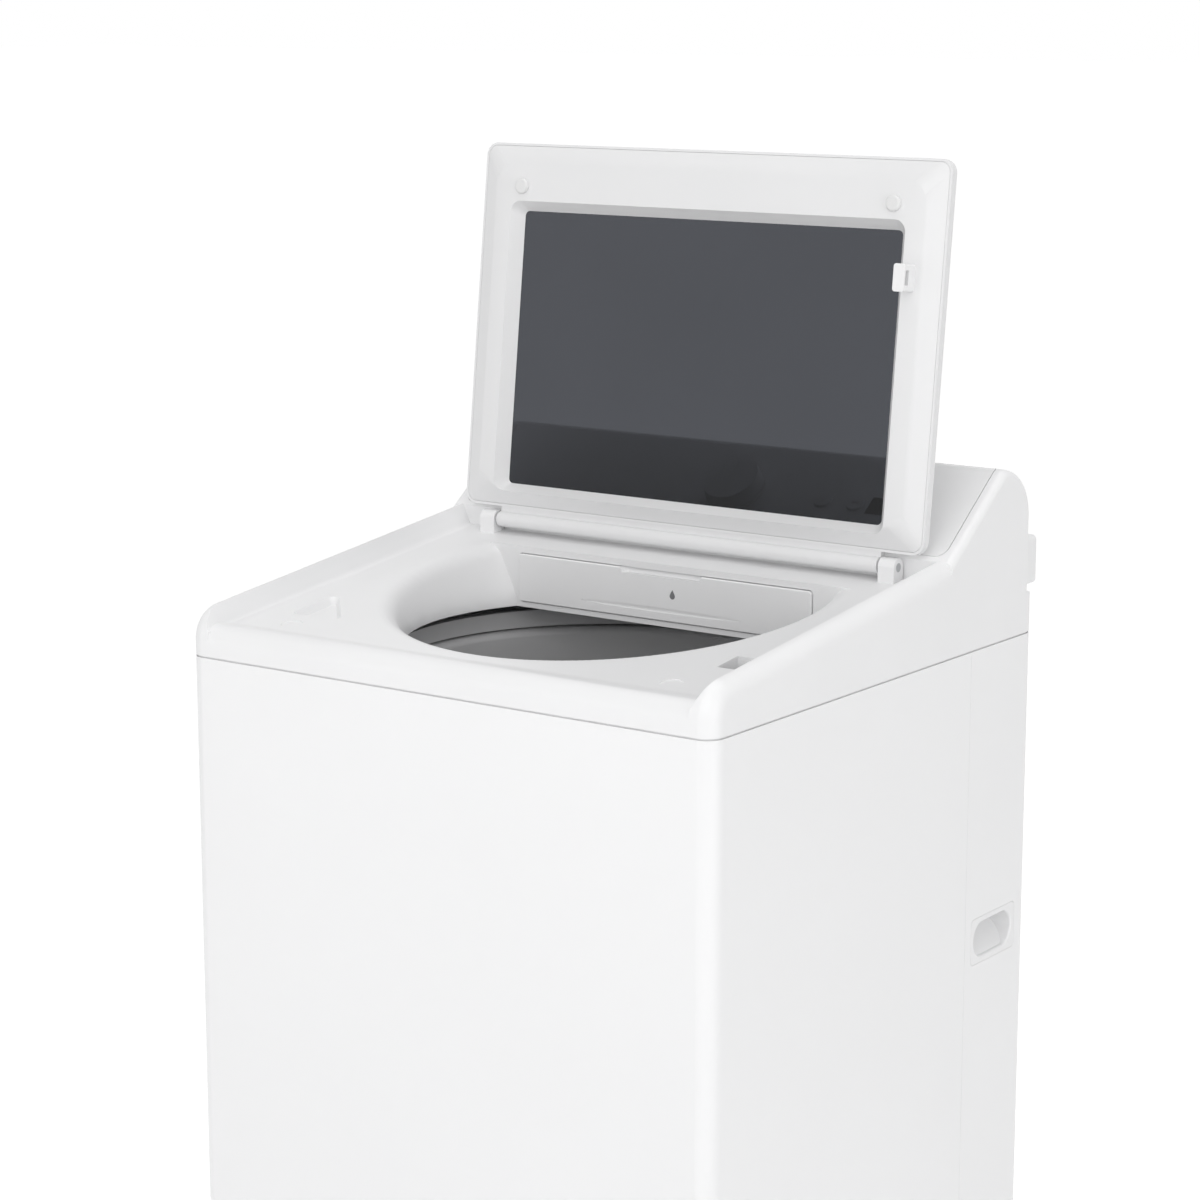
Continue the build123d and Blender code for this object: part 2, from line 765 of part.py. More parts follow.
panel_front_y = console_y + panel_front_margin * cos(radians(console_slope))
panel_rear_y = console_apex_y + panel_reach
panel_base_z = console_foot_z - panel_thickness
panel_plan_y = (panel_front_y + panel_rear_y) / 2
panel_plan_depth = panel_rear_y - panel_front_y
with BuildPart() as panel_seat:
    with BuildSketch(Plane.YZ):
        add(console_shape.sketch_local)
        offset(amount=-panel_thickness, mode=Mode.SUBTRACT)
    extrude(amount=half_width, both=True)
    with BuildSketch(Plane.XY.offset(panel_base_z)):
        with Locations((0, panel_plan_y)):
            RectangleRounded(
                panel_width + 2 * panel_groove,
                panel_plan_depth + 2 * panel_groove,
                panel_corner + panel_groove,
            )
    extrude(amount=console_top_z - panel_base_z, mode=Mode.INTERSECT)

with BuildPart() as console_housing:
    with BuildSketch(Plane.YZ):
        add(console_shape.sketch_local)
    extrude(amount=half_width, both=True)
    cheek_edges = console_housing.edges().filter_by(lambda e: abs(abs(e.center().X) - half_width) < 0.01)
    fillet(
        cheek_edges.filter_by(lambda e: e.center().Z > joint_front_z + pick and e.center().Y > console_y + pick),
        console_side_radius,
    )
    with BuildSketch(Plane.YZ) as cavity_section:
        with BuildLine():
            Polyline(
                (console_y + console_wall, joint_rear_z - console_wall),
                (console_y + console_wall, cavity_foot_z),
                (console_apex_y, cavity_apex_z),
                (cavity_back_y, cavity_back_z),
                (cavity_back_y, joint_rear_z - console_wall),
                close=True,
            )
        make_face()
        fillet(cavity_section.vertices().sort_by(Axis.Y)[-2], console_back_radius - console_wall)
    extrude(amount=half_width - 2 * console_wall, both=True, mode=Mode.SUBTRACT)
    add(panel_seat.part, mode=Mode.SUBTRACT)
    with BuildSketch(panel_plane):
        RectangleRounded(panel_width - 2 * panel_rim, panel_length - 2 * panel_rim, panel_corner)
    extrude(amount=-2 * slope_wall, mode=Mode.SUBTRACT)
console_housing.part.label = "console_housing"
export_step(console_housing.part, "parts/console_housing.step")

# Control panel: a plate that wraps over the ridge, with a dial bore, two button holes and a sunk display
button_gap = 0.4
display_depth = 2.0
with BuildPart() as console_panel:
    with BuildSketch(Plane.YZ):
        add(console_shape.sketch_local)
        offset(amount=-panel_thickness, mode=Mode.SUBTRACT)
    extrude(amount=half_width, both=True)
    with BuildSketch(Plane.XY.offset(panel_base_z)):
        with Locations((0, panel_plan_y)):
            RectangleRounded(panel_width, panel_plan_depth, panel_corner)
    extrude(amount=console_top_z - panel_base_z, mode=Mode.INTERSECT)
    with BuildSketch(panel_plane):
        with Locations((dial_offset, 0)):
            Circle(dial_stem + run_gap)
        with Locations((power_offset, 0), (start_offset, 0)):
            Circle(button_radius + button_gap)
    extrude(amount=-panel_thickness, mode=Mode.SUBTRACT)
    with BuildSketch(panel_plane):
        with Locations((display_offset, 0)):
            Rectangle(display_width, display_height)
    extrude(amount=-display_depth, mode=Mode.SUBTRACT)
console_panel.part.label = "console_panel"
export_step(console_panel.part, "parts/console_panel.step")

with BuildPart() as display_window:
    with BuildSketch(panel_plane):
        with Locations((display_offset, 0)):
            Rectangle(display_width, display_height)
    extrude(amount=-display_depth)
display_window.part.label = "display_window"
export_step(display_window.part, "parts/display_window.step")

# Control board box, hung behind the panel on four posts
board_margin = 48.0
board_width = display_offset - dial_offset + 2 * board_margin
board_offset = (display_offset + dial_offset) / 2
board_length = 66.0
board_depth = 28.0
board_drop = 16.0
post_radius = 4.0
post_inset = 10.0
with BuildPart() as control_box:
    with BuildSketch(panel_plane.offset(-board_drop)):
        with Locations((board_offset, 0)):
            RectangleRounded(board_width, board_length, panel_corner)
    extrude(amount=-board_depth)
    with BuildSketch(panel_plane.offset(-board_drop)):
        with Locations((board_offset, 0)):
            with GridLocations(board_width - 2 * post_inset, board_length - 2 * post_inset, 2, 2):
                Circle(post_radius)
    extrude(amount=board_drop - panel_thickness)
control_box.part.label = "control_box"
export_step(control_box.part, "parts/control_box.step")

# Cycle dial: a turned knob with a waist groove, a capped face and a stem through the panel
dial_groove = 1.5
dial_groove_height = 4.0
dial_taper = 2.0
dial_cap_inset = 5.0
dial_cap_depth = 1.5
dial_origin = panel_plane.from_local_coords((dial_offset, 0, 0))
dial_section = Plane(origin=dial_origin, x_dir=(1, 0, 0), z_dir=-panel_plane.y_dir)
dial_axis = Axis(dial_origin, panel_plane.z_dir)
with BuildPart() as cycle_dial:
    with BuildSketch(dial_section):
        with BuildLine():
            Polyline(
                (0, -board_drop + 2 * slide_gap),
                (dial_stem, -board_drop + 2 * slide_gap),
                (dial_stem, seat_gap),
                (dial_radius, seat_gap),
                (dial_radius, dial_groove_height),
                (dial_radius - dial_groove, dial_groove_height),
                (dial_radius - dial_groove, dial_groove_height + dial_groove),
                (dial_radius, dial_groove_height + dial_groove),
                (dial_radius - dial_taper, dial_height),
                (dial_radius - dial_cap_inset, dial_height),
                (dial_radius - dial_cap_inset, dial_height - dial_cap_depth),
                (0, dial_height - dial_cap_depth),
                close=True,
            )
        make_face()
    revolve(axis=dial_axis)
cycle_dial.part.label = "cycle_dial"
export_step(cycle_dial.part, "parts/cycle_dial.step")

pointer_length = 10.0
pointer_width = 2.0
with BuildPart() as dial_cap:
    with BuildSketch(panel_plane.offset(dial_height - dial_cap_depth)):
        with Locations((dial_offset, 0)):
            Circle(dial_radius - dial_cap_inset)
    extrude(amount=dial_cap_depth)
    with BuildSketch(panel_plane.offset(dial_height)):
        with Locations((dial_offset, dial_radius - dial_cap_inset - pointer_length)):
            SlotOverall(pointer_length, pointer_width, rotation=90)
    extrude(amount=-dial_cap_depth / 2, mode=Mode.SUBTRACT)
dial_cap.part.label = "dial_cap"
export_step(dial_cap.part, "parts/dial_cap.step")

# Push buttons with a retaining flange behind the panel
flange_width = 3.0
flange_thickness = 2.0
button_round = 1.0
for button, button_x in (("power", power_offset), ("start", start_offset)):
    with BuildPart() as push_button:
        with BuildSketch(panel_plane.offset(-button_depth)):
            with Locations((button_x, 0)):
                Circle(button_radius)
        extrude(amount=button_depth + button_proud)
        fillet(push_button.faces().sort_by(dial_axis)[-1].edges(), button_round)
        with BuildSketch(panel_plane.offset(-panel_thickness - seat_gap)):
            with Locations((button_x, 0)):
                Circle(button_radius + flange_width)
        extrude(amount=-flange_thickness)
    push_button.part.label = f"{button}_button"
    export_step(push_button.part, f"parts/{button}_button.step")

# Detergent drawer: a moulded front with a pull notch and a groove, and an open tray behind it
drawer_floor_z = seam_height + drawer_floor
drawer_face_y = drawer_y - drawer_proud
tray_width = drawer_width - 2 * tray_inset
tray_y = drawer_face_y + drawer_front_depth
tray_floor_z = drawer_floor_z + tray_wall
notch_width = 112.0
notch_depth = 6.0
notch_reach = 9.0
groove_width = 220.0
groove_height = 5.0
groove_depth = 1.2
groove_rise = 12.0
drawer_edge = 1.5
with BuildPart() as drawer_front:
    with BuildSketch(Plane.XZ.offset(-drawer_face_y)):
        with Locations((0, drawer_mid_z)):
            RectangleRounded(drawer_width, drawer_rise, drawer_corner)
    extrude(amount=-drawer_front_depth)
    fillet(drawer_front.faces().sort_by(Axis.Y)[0].edges(), drawer_edge)
    with BuildSketch(Plane.XZ.offset(-drawer_face_y)):
        with Locations((0, drawer_floor_z + groove_rise)):
            Ellipse(groove_width / 2, groove_height / 2)
    extrude(amount=-groove_depth, mode=Mode.SUBTRACT)
    with BuildSketch(Plane.XY.offset(drawer_floor_z + drawer_rise)):
        with Locations((0, drawer_face_y)):
            SlotOverall(notch_width, 2 * notch_reach)
    extrude(amount=-notch_depth, taper=20, mode=Mode.SUBTRACT)
drawer_front.part.label = "drawer_front"
export_step(drawer_front.part, "parts/drawer_front.step")

divider_offset = 60.0
with BuildPart() as drawer_tray:
    with BuildSketch(Plane.XY.offset(tray_floor_z)):
        with Locations((0, tray_y + tray_length / 2)):
            Rectangle(tray_width, tray_length)
    extrude(amount=tray_height)
    with BuildSketch(Plane.XY.offset(tray_floor_z + tray_wall)):
        with Locations((0, tray_y + tray_length / 2)):
            Rectangle(tray_width - 2 * tray_wall, tray_length - 2 * tray_wall)
            with Locations((divider_offset, 0)):
                Rectangle(tray_wall, tray_length, mode=Mode.SUBTRACT)
    extrude(amount=tray_height, mode=Mode.SUBTRACT)
drawer_tray.part.label = "drawer_tray"
export_step(drawer_tray.part, "parts/drawer_tray.step")

# Drawer housing: a collar on the back of the deck's rear wall, and the box that the tray slides in
housing_wall = 3.0
collar_y = drawer_y + cover_wall
collar_back_y = tray_y + slide_gap
collar_width = drawer_width + 2 * slide_gap
collar_height = drawer_rise + 2 * slide_gap
housing_back_y = tray_y + tray_length + slide_gap
housing_mid_z = tray_floor_z + tray_height / 2
housing_width = tray_width + 2 * slide_gap
housing_height = tray_height + 2 * slide_gap
with BuildPart() as drawer_housing:
    with BuildSketch(Plane.XZ.offset(-collar_y)):
        with Locations((0, drawer_mid_z)):
            Rectangle(collar_width + 2 * housing_wall, collar_height + 2 * housing_wall)
    extrude(amount=-(collar_back_y + housing_wall - collar_y))
    with BuildSketch(Plane.XZ.offset(-collar_back_y)):
        with Locations((0, housing_mid_z)):
            Rectangle(housing_width + 2 * housing_wall, housing_height + 2 * housing_wall)
    extrude(amount=-(housing_back_y + housing_wall - collar_back_y))
    with BuildSketch(Plane.XZ.offset(-collar_y)):
        with Locations((0, drawer_mid_z)):
            RectangleRounded(collar_width, collar_height, drawer_corner + slide_gap)
    extrude(amount=-(collar_back_y - collar_y), mode=Mode.SUBTRACT)
    with BuildSketch(Plane.XZ.offset(-collar_back_y)):
        with Locations((0, housing_mid_z)):
            Rectangle(housing_width, housing_height)
    extrude(amount=-(housing_back_y - collar_back_y), mode=Mode.SUBTRACT)
drawer_housing.part.label = "drawer_housing"
export_step(drawer_housing.part, "parts/drawer_housing.step")

# Lid lock under the deck, with a bolt that slides through the strike
bolt_height = 5.0
bolt_length = 24.0
bolt_breadth = 12.0
bolt_travel = 16.0
window_height = 7.0
window_length = 16.0
strike_hook = 2.0
window_depth = lid_depth + strike_height - strike_hook - window_height / 2
lock_wall = 3.0
lock_depth = 36.0
lock_half_y = strike_length / 2 + strike_slot_gap + lock_wall
pocket_half_x = strike_width / 2 + strike_slot_gap
bolt_x = strike_offset + pocket_half_x + 2 * slide_gap
lock_left_x = strike_offset - pocket_half_x - lock_wall
lock_right_x = bolt_x + bolt_length + lock_wall
bolt_z = closed_z(strike_reach, window_depth)
lock_front_y = strike_y - lock_half_y
lock_back_y = strike_y + lock_half_y
with BuildPart() as lid_lock:
    with BuildSketch(Plane.YZ.offset(lock_left_x)):
        with BuildLine():
            Polyline(
                (lock_front_y, deck_z(lock_front_y, cover_wall)),
                (lock_back_y, deck_z(lock_back_y, cover_wall)),
                (lock_back_y, deck_z(lock_front_y, cover_wall) - lock_depth),
                (lock_front_y, deck_z(lock_front_y, cover_wall) - lock_depth),
                close=True,
            )
        make_face()
    extrude(amount=lock_right_x - lock_left_x)
    with BuildSketch(Plane.XY.offset(deck_z(lock_front_y, cover_wall) - lock_depth + lock_wall)):
        with Locations((strike_offset, strike_y)):
            Rectangle(2 * pocket_half_x, 2 * (lock_half_y - lock_wall))
    extrude(amount=2 * lock_depth, mode=Mode.SUBTRACT)
    with BuildSketch(Plane.YZ.offset(strike_offset)):
        with Locations((strike_y, bolt_z)):
            Rectangle(bolt_breadth + 2 * seat_gap, bolt_height + 2 * seat_gap)
    extrude(amount=bolt_x + bolt_length + seat_gap - strike_offset, mode=Mode.SUBTRACT)
lid_lock.part.label = "lid_lock"
export_step(lid_lock.part, "parts/lid_lock.step")

with BuildPart() as lock_bolt:
    with BuildSketch(Plane.YZ.offset(bolt_x)):
        with Locations((strike_y, bolt_z)):
            Rectangle(bolt_breadth, bolt_height)
    extrude(amount=bolt_length)
    chamfer(lock_bolt.faces().sort_by(Axis.X)[0].edges(), slide_gap)
lock_bolt.part.label = "lock_bolt"
export_step(lock_bolt.part, "parts/lock_bolt.step")

# Lid: an outer frame with the hinge barrel, an inner frame with a sloped bezel, and a glass pane
lid_mid = (lid_length + lid_rear_gap) / 2
lid_span = lid_length - lid_rear_gap
window_rear = lid_rear_border
window_span = lid_window_front - window_rear
window_mid = (lid_window_front + window_rear) / 2
bezel_width = lid_window_width - 2 * bezel_inset
bezel_span = window_span - 2 * bezel_inset
bezel_corner = 6.0
glass_width = bezel_width + 2 * glass_overlap
glass_span = bezel_span + 2 * glass_overlap
glass_corner = bezel_corner + glass_overlap
glass_sink = 0.4
glass_gap = 0.5
inner_inset = lid_wall + seat_gap
inner_width = lid_width - 2 * inner_inset
inner_span = lid_span - 2 * inner_inset
rabbet_width = glass_width + 2 * glass_gap
rabbet_span = glass_span + 2 * glass_gap
rabbet_corner = glass_corner + glass_gap
with BuildPart() as lid_frame:
    with BuildSketch(lid_level(0)):
        with Locations((0, lid_mid)):
            RectangleRounded(lid_width, lid_span, lid_corner)
    extrude(amount=lid_edge_depth)
    with BuildSketch(lid_level(lid_wall)):
        with Locations((0, lid_mid)):
            RectangleRounded(lid_width - 2 * lid_wall, lid_span - 2 * lid_wall, lid_corner - lid_wall)
    extrude(amount=lid_edge_depth, mode=Mode.SUBTRACT)
    with BuildSketch(Plane.YZ.offset(-barrel_length / 2)):
        with Locations((hinge_y, hinge_z)):
            Circle(barrel_radius)
    extrude(amount=barrel_length)
    with BuildSketch(lid_level(0)):
        with Locations((0, (lid_rear_gap + lid_wall) / 2)):
            Rectangle(barrel_length, lid_rear_gap + lid_wall)
    extrude(amount=lid_axis_depth)
    with BuildSketch(lid_level(0)):
        with Locations((0, window_mid)):
            RectangleRounded(rabbet_width, rabbet_span, rabbet_corner)
    extrude(amount=lid_edge_depth, mode=Mode.SUBTRACT)
    with BuildSketch(Plane.YZ.offset(-barrel_length / 2)):
        with Locations((hinge_y, hinge_z)):
            Circle(pin_radius)
    extrude(amount=pin_length - bracket_gap - bracket_width, mode=Mode.SUBTRACT)
    with BuildSketch(Plane.YZ.offset(barrel_length / 2)):
        with Locations((hinge_y, hinge_z)):
            Circle(pin_radius)
    extrude(amount=-(pin_length - bracket_gap - bracket_width), mode=Mode.SUBTRACT)
lid_frame.part.label = "lid_frame"
export_step(lid_frame.part, "parts/lid_frame.step")

with BuildPart() as lid_inner_frame:
    with BuildSketch(lid_level(lid_wall)):
        with Locations((0, lid_mid)):
            RectangleRounded(inner_width, inner_span, lid_corner - inner_inset)
    extrude(amount=lid_edge_depth - lid_wall)
    with BuildSketch(lid_level(lid_edge_depth)):
        with Locations((0, lid_mid)):
            RectangleRounded(inner_width, inner_span, lid_corner - inner_inset)
    with BuildSketch(lid_level(lid_depth)):
        with Locations((0, lid_mid)):
            RectangleRounded(lid_width - 2 * lid_bevel, lid_span - 2 * lid_bevel, lid_corner)
    loft()
    with BuildSketch(lid_level(glass_sink + glass_thickness)):
        with Locations((0, window_mid)):
            RectangleRounded(bezel_width, bezel_span, bezel_corner)
    with BuildSketch(lid_level(lid_depth)):
        with Locations((0, window_mid)):
            RectangleRounded(lid_window_width, window_span, lid_window_corner)
    loft(mode=Mode.SUBTRACT)
    with BuildSketch(lid_level(lid_wall)):
        with Locations((0, window_mid)):
            RectangleRounded(rabbet_width, rabbet_span, rabbet_corner)
    extrude(amount=glass_sink + glass_thickness - lid_wall, mode=Mode.SUBTRACT)
lid_inner_frame.part.label = "lid_inner_frame"
export_step(lid_inner_frame.part, "parts/lid_inner_frame.step")

with BuildPart() as lid_glass:
    with BuildSketch(lid_level(glass_sink)):
        with Locations((0, window_mid)):
            RectangleRounded(glass_width, glass_span, glass_corner)
    extrude(amount=glass_thickness)
lid_glass.part.label = "lid_glass"
export_step(lid_glass.part, "parts/lid_glass.step")

# Rubber bumpers near the lid's front corners
with BuildPart() as lid_bumpers:
    with BuildSketch(lid_level(lid_depth)):
        with Locations((-bumper_spacing / 2, bumper_reach), (bumper_spacing / 2, bumper_reach)):
            Circle(bumper_radius)
    extrude(amount=bumper_height)
    fillet(lid_bumpers.faces().sort_by(Axis((0, 0, 0), lid_normal))[-2:].edges(), bumper_height / 2)
lid_bumpers.part.label = "lid_bumpers"
export_step(lid_bumpers.part, "parts/lid_bumpers.step")

# Strike: the hooked tongue that the lock bolt passes through
strike_round = 3.0
strike_side = Plane(
    origin=lid_plane.from_local_coords((strike_offset, strike_reach, lid_top + window_depth)),
    x_dir=lid_plane.y_dir,
    z_dir=(1, 0, 0),
)
with BuildPart() as lid_strike:
    with BuildSketch(lid_level(lid_depth)):
        with Locations((strike_offset, strike_reach)):
            RectangleRounded(strike_width, strike_length, strike_round)
    extrude(amount=strike_height)
    with BuildSketch(strike_side):
        Rectangle(window_length, window_height)
    extrude(amount=strike_width, both=True, mode=Mode.SUBTRACT)
lid_strike.part.label = "lid_strike"
export_step(lid_strike.part, "parts/lid_strike.step")

# Hinge pins: pressed into the barrel's ends, turning in the brackets
for side, hand in (("left", -1), ("right", 1)):
    with BuildPart() as hinge_pin:
        with BuildSketch(Plane.YZ.offset(hand * (bracket_x + bracket_width))):
            with Locations((hinge_y, hinge_z)):
                Circle(pin_radius)
        extrude(amount=-hand * pin_length)
    hinge_pin.part.label = f"hinge_pin_{side}"
    export_step(hinge_pin.part, f"parts/hinge_pin_{side}.step")

# Outer tub: a deep moulded bucket
tub_top_z = seam_height - tub_cover_drop
tub_floor_thickness = 8.0
tub_rim = 6.0
bearing_radius = 62.0
lug_width = 46.0
lug_hole = rod_radius + 2 * slide_gap
tub_outer = tub_radius + tub_wall
with BuildPart() as outer_tub:
    with BuildSketch(tub_plane):
        with BuildLine():
            Polyline(
                (bearing_radius, tub_floor_height),
                (tub_outer, tub_floor_height),
                (tub_outer, tub_top_z - tub_rim),
                (tub_outer + tub_rim, tub_top_z - tub_rim),
                (tub_outer + tub_rim, tub_top_z),
                (tub_radius, tub_top_z),
                (tub_radius, tub_floor_height + tub_floor_thickness),
                (bearing_radius, tub_floor_height + tub_floor_thickness),
                close=True,
            )
        make_face()
    revolve(axis=tub_axis)
outer_tub.part.label = "outer_tub"
export_step(outer_tub.part, "parts/outer_tub.step")

# Tub lugs: four brackets on the tub's wall, each hung on a rod
lug_reach = rod_ring_radius - tub_radius
lug_angles = (45, 135, 225, 315)
with BuildPart() as tub_lugs:
    for lug_angle in lug_angles:
        lug_plane = Plane(
            origin=(0, tub_y, lug_height),
            x_dir=(cos(radians(lug_angle)), sin(radians(lug_angle)), 0),
            z_dir=(0, 0, 1),
        )
        with BuildSketch(lug_plane):
            with Locations((tub_radius + lug_reach / 2, 0)):
                Rectangle(lug_reach, lug_width)
            with Locations((rod_ring_radius, 0)):
                Circle(lug_width / 2)
                Circle(lug_hole, mode=Mode.SUBTRACT)
        extrude(amount=lug_thickness)
    with BuildSketch(Plane.XY.offset(lug_height)):
        with Locations((0, tub_y)):
            Circle(tub_outer)
    extrude(amount=lug_thickness, mode=Mode.SUBTRACT)
tub_lugs.part.label = "tub_lugs"
export_step(tub_lugs.part, "parts/tub_lugs.step")

# Tub cover: the ring that closes the tub's rim round the basket's mouth
cover_lip = 8.0
with BuildPart() as tub_cover:
    with BuildSketch(tub_plane):
        with BuildLine():
            Polyline(
                (tub_cover_bore, tub_top_z - cover_lip),
                (tub_cover_bore + tub_wall, tub_top_z - cover_lip),
                (tub_cover_bore + tub_wall, tub_top_z),
                (tub_outer + tub_rim, tub_top_z),
                (tub_outer + tub_rim, tub_top_z + tub_wall),
                (tub_cover_bore + tub_cover_height, tub_top_z + tub_cover_height),
                (tub_cover_bore, tub_top_z + tub_cover_height),
                close=True,
            )
        make_face()
    revolve(axis=tub_axis)
tub_cover.part.label = "tub_cover"
export_step(tub_cover.part, "parts/tub_cover.step")

# Bearing housing: a ribbed casting in the tub's floor, bored for the spin tube
bearing_drop = 30.0
bearing_boss = 40.0
bearing_lift = 10.0
with BuildPart() as bearing_housing:
    with BuildSketch(tub_plane):
        with BuildLine():
            Polyline(
                (spin_tube_radius + run_gap, tub_floor_height - bearing_drop),
                (bearing_boss, tub_floor_height - bearing_drop),
                (bearing_boss, tub_floor_height),
                (bearing_radius, tub_floor_height),
                (bearing_radius, tub_floor_height + tub_floor_thickness),
                (bearing_boss, tub_floor_height + tub_floor_thickness),
                (bearing_boss, tub_floor_height + bearing_lift),
                (spin_tube_radius + run_gap, tub_floor_height + bearing_lift),
                close=True,
            )
        make_face()
    revolve(axis=tub_axis)
bearing_housing.part.label = "bearing_housing"
export_step(bearing_housing.part, "parts/bearing_housing.step")

# Stator: a ring of pole teeth fixed under the tub floor
stator_gap = 1.5
stator_height = 30.0
stator_yoke = 18.0
rotor_wall = 4.0
tooth_width = 8.0
stator_tip = rotor_radius - rotor_wall - stator_gap
yoke_radius = bearing_boss + stator_yoke
tooth_length = stator_tip - yoke_radius
stator_z = tub_floor_height - stator_height
with BuildPart() as stator:
    with BuildSketch(Plane.XY.offset(stator_z)):
        with Locations((0, tub_y)):
            Circle(yoke_radius + tooth_width)
            with PolarLocations(yoke_radius + tooth_length / 2, stator_tooth_count):
                Rectangle(tooth_length, tooth_width)
            Circle(bearing_boss, mode=Mode.SUBTRACT)
    extrude(amount=stator_height)
stator.part.label = "stator"
export_step(stator.part, "parts/stator.step")

# Wash basket: a thin stainless drum with two rolled beads
basket_floor_z = tub_floor_height + tub_floor_thickness + basket_floor_gap
basket_top_z = seam_height - balance_drop - balance_height
basket_outer = basket_radius + basket_sheet
bead_span = 14.0
upper_bead_z = basket_top_z - 2 * bead_span
lower_bead_z = basket_floor_z + 5 * bead_span


def bead_profile(radius, mid_z):
    """Corners of a rolled bead on a wall of that radius, from its lower to its upper edge."""
    return (
        (radius, mid_z - bead_span),
        (radius + basket_bead, mid_z - bead_span / 2),
        (radius + basket_bead, mid_z + bead_span / 2),
        (radius, mid_z + bead_span),
    )


with BuildPart() as wash_basket:
    with BuildSketch(tub_plane):
        with BuildLine():
            Polyline(
                (basket_radius, basket_floor_z),
                (basket_outer, basket_floor_z),
                *bead_profile(basket_outer, lower_bead_z),
                *bead_profile(basket_outer, upper_bead_z),
                (basket_outer, basket_top_z),
                (basket_radius, basket_top_z),
                *reversed(bead_profile(basket_radius, upper_bead_z)),
                *reversed(bead_profile(basket_radius, lower_bead_z)),
                close=True,
            )
        make_face()
    revolve(axis=tub_axis)
wash_basket.part.label = "wash_basket"
export_step(wash_basket.part, "parts/wash_basket.step")

with BuildPart() as basket_floor:
    with BuildSketch(Plane.XY.offset(basket_floor_z)):
        with Locations((0, tub_y)):
            Circle(basket_radius)
            Circle(spin_tube_radius, mode=Mode.SUBTRACT)
    extrude(amount=basket_base)
basket_floor.part.label = "basket_floor"
export_step(basket_floor.part, "parts/basket_floor.step")

# Balance ring: the smooth ring on the basket's rim
ring_round = 8.0
with BuildPart() as balance_ring:
    with BuildSketch(tub_plane) as ring_section:
        with BuildLine():
            Polyline(
                (balance_bore, basket_top_z),
                (basket_outer, basket_top_z),
                (basket_outer, basket_top_z + balance_height),
                (balance_bore, basket_top_z + balance_height),
                close=True,
            )
        make_face()
        fillet(ring_section.vertices().sort_by(Axis.X)[:2], ring_round)
    revolve(axis=tub_axis)
balance_ring.part.label = "balance_ring"
export_step(balance_ring.part, "parts/balance_ring.step")

# Basket hub: six arms under the basket's floor, and the hollow spin tube that runs in the bearing
hub_thickness = 12.0
hub_radius = 70.0
hub_arm_count = 6
arm_reach = 200.0
arm_width = 34.0
tube_end = 6.0
tube_end_z = tub_floor_height - bearing_drop - tube_end
hub_z = basket_floor_z - hub_thickness
with BuildPart() as basket_hub:
    with BuildSketch(Plane.XY.offset(hub_z)):
        with Locations((0, tub_y)):
            Circle(hub_radius)
            with PolarLocations(arm_reach / 2, hub_arm_count):
                SlotOverall(arm_reach, arm_width)
    extrude(amount=hub_thickness)
    with BuildSketch(Plane.XY.offset(tube_end_z)):
        with Locations((0, tub_y)):
            Circle(spin_tube_radius)
    extrude(amount=hub_z - tube_end_z)
    with BuildSketch(Plane.XY.offset(tube_end_z)):
        with Locations((0, tub_y)):
            Circle(shaft_radius + run_gap)
    extrude(amount=basket_floor_z - tube_end_z, mode=Mode.SUBTRACT)
basket_hub.part.label = "basket_hub"
export_step(basket_hub.part, "parts/basket_hub.step")

# Pulsator: a domed wash plate with lobes, on the drive shaft
pulsator_gap = 3.0
pulsator_edge = 5.0
pulsator_shoulder = 0.72
crown_radius = 34.0
lobe_start = 46.0
lobe_width = 26.0
lobe_rise = 24.0
lobe_taper = 22.0
shaft_seat = 16.0
pulsator_z = basket_floor_z + basket_base + pulsator_gap
pulsator_top_z = pulsator_z + pulsator_rise
shaft_top_z = pulsator_z + shaft_seat
lobe_length = pulsator_radius - pulsator_edge - lobe_start
with BuildPart() as pulsator:
    with BuildSketch(tub_plane):
        with BuildLine():
            Polyline(
                (0, pulsator_z),
                (pulsator_radius, pulsator_z),
                (pulsator_radius, pulsator_z + pulsator_edge),
                (pulsator_shoulder * pulsator_radius, pulsator_z + 2 * pulsator_edge),
                (crown_radius, pulsator_top_z),
                (0, pulsator_top_z),
                close=True,
            )
        make_face()
    revolve(axis=tub_axis)
    with BuildSketch(Plane.XY.offset(pulsator_z + pulsator_edge)):
        with Locations((0, tub_y)):
            with PolarLocations(lobe_start + lobe_length / 2, pulsator_lobe_count):
                SlotOverall(lobe_length, lobe_width)
    extrude(amount=lobe_rise, taper=lobe_taper)
    with BuildSketch(Plane.XY.offset(pulsator_z)):
        with Locations((0, tub_y)):
            Circle(shaft_radius)
    extrude(amount=shaft_seat, mode=Mode.SUBTRACT)
pulsator.part.label = "pulsator"
export_step(pulsator.part, "parts/pulsator.step")

cap_height = 9.0
cap_radius = crown_radius - 2 * slide_gap
cap_round = 6.0
with BuildPart() as pulsator_cap:
    with BuildSketch(Plane.XY.offset(pulsator_top_z)):
        with Locations((0, tub_y)):
            Circle(cap_radius)
    extrude(amount=cap_height)
    fillet(pulsator_cap.faces().sort_by(Axis.Z)[-1].edges(), cap_round)
pulsator_cap.part.label = "pulsator_cap"
export_step(pulsator_cap.part, "parts/pulsator_cap.step")

# Drive: a solid shaft through the spin tube, and the rotor cup round the stator
rotor_top_gap = 4.0
rotor_boss = 24.0
rotor_z = tub_floor_height - rotor_top_gap - rotor_height
shaft_end_z = rotor_z - rotor_wall
with BuildPart() as drive_shaft:
    with BuildSketch(Plane.XY.offset(shaft_end_z)):
        with Locations((0, tub_y)):
            Circle(shaft_radius)
    extrude(amount=shaft_top_z - shaft_end_z)
drive_shaft.part.label = "drive_shaft"
export_step(drive_shaft.part, "parts/drive_shaft.step")

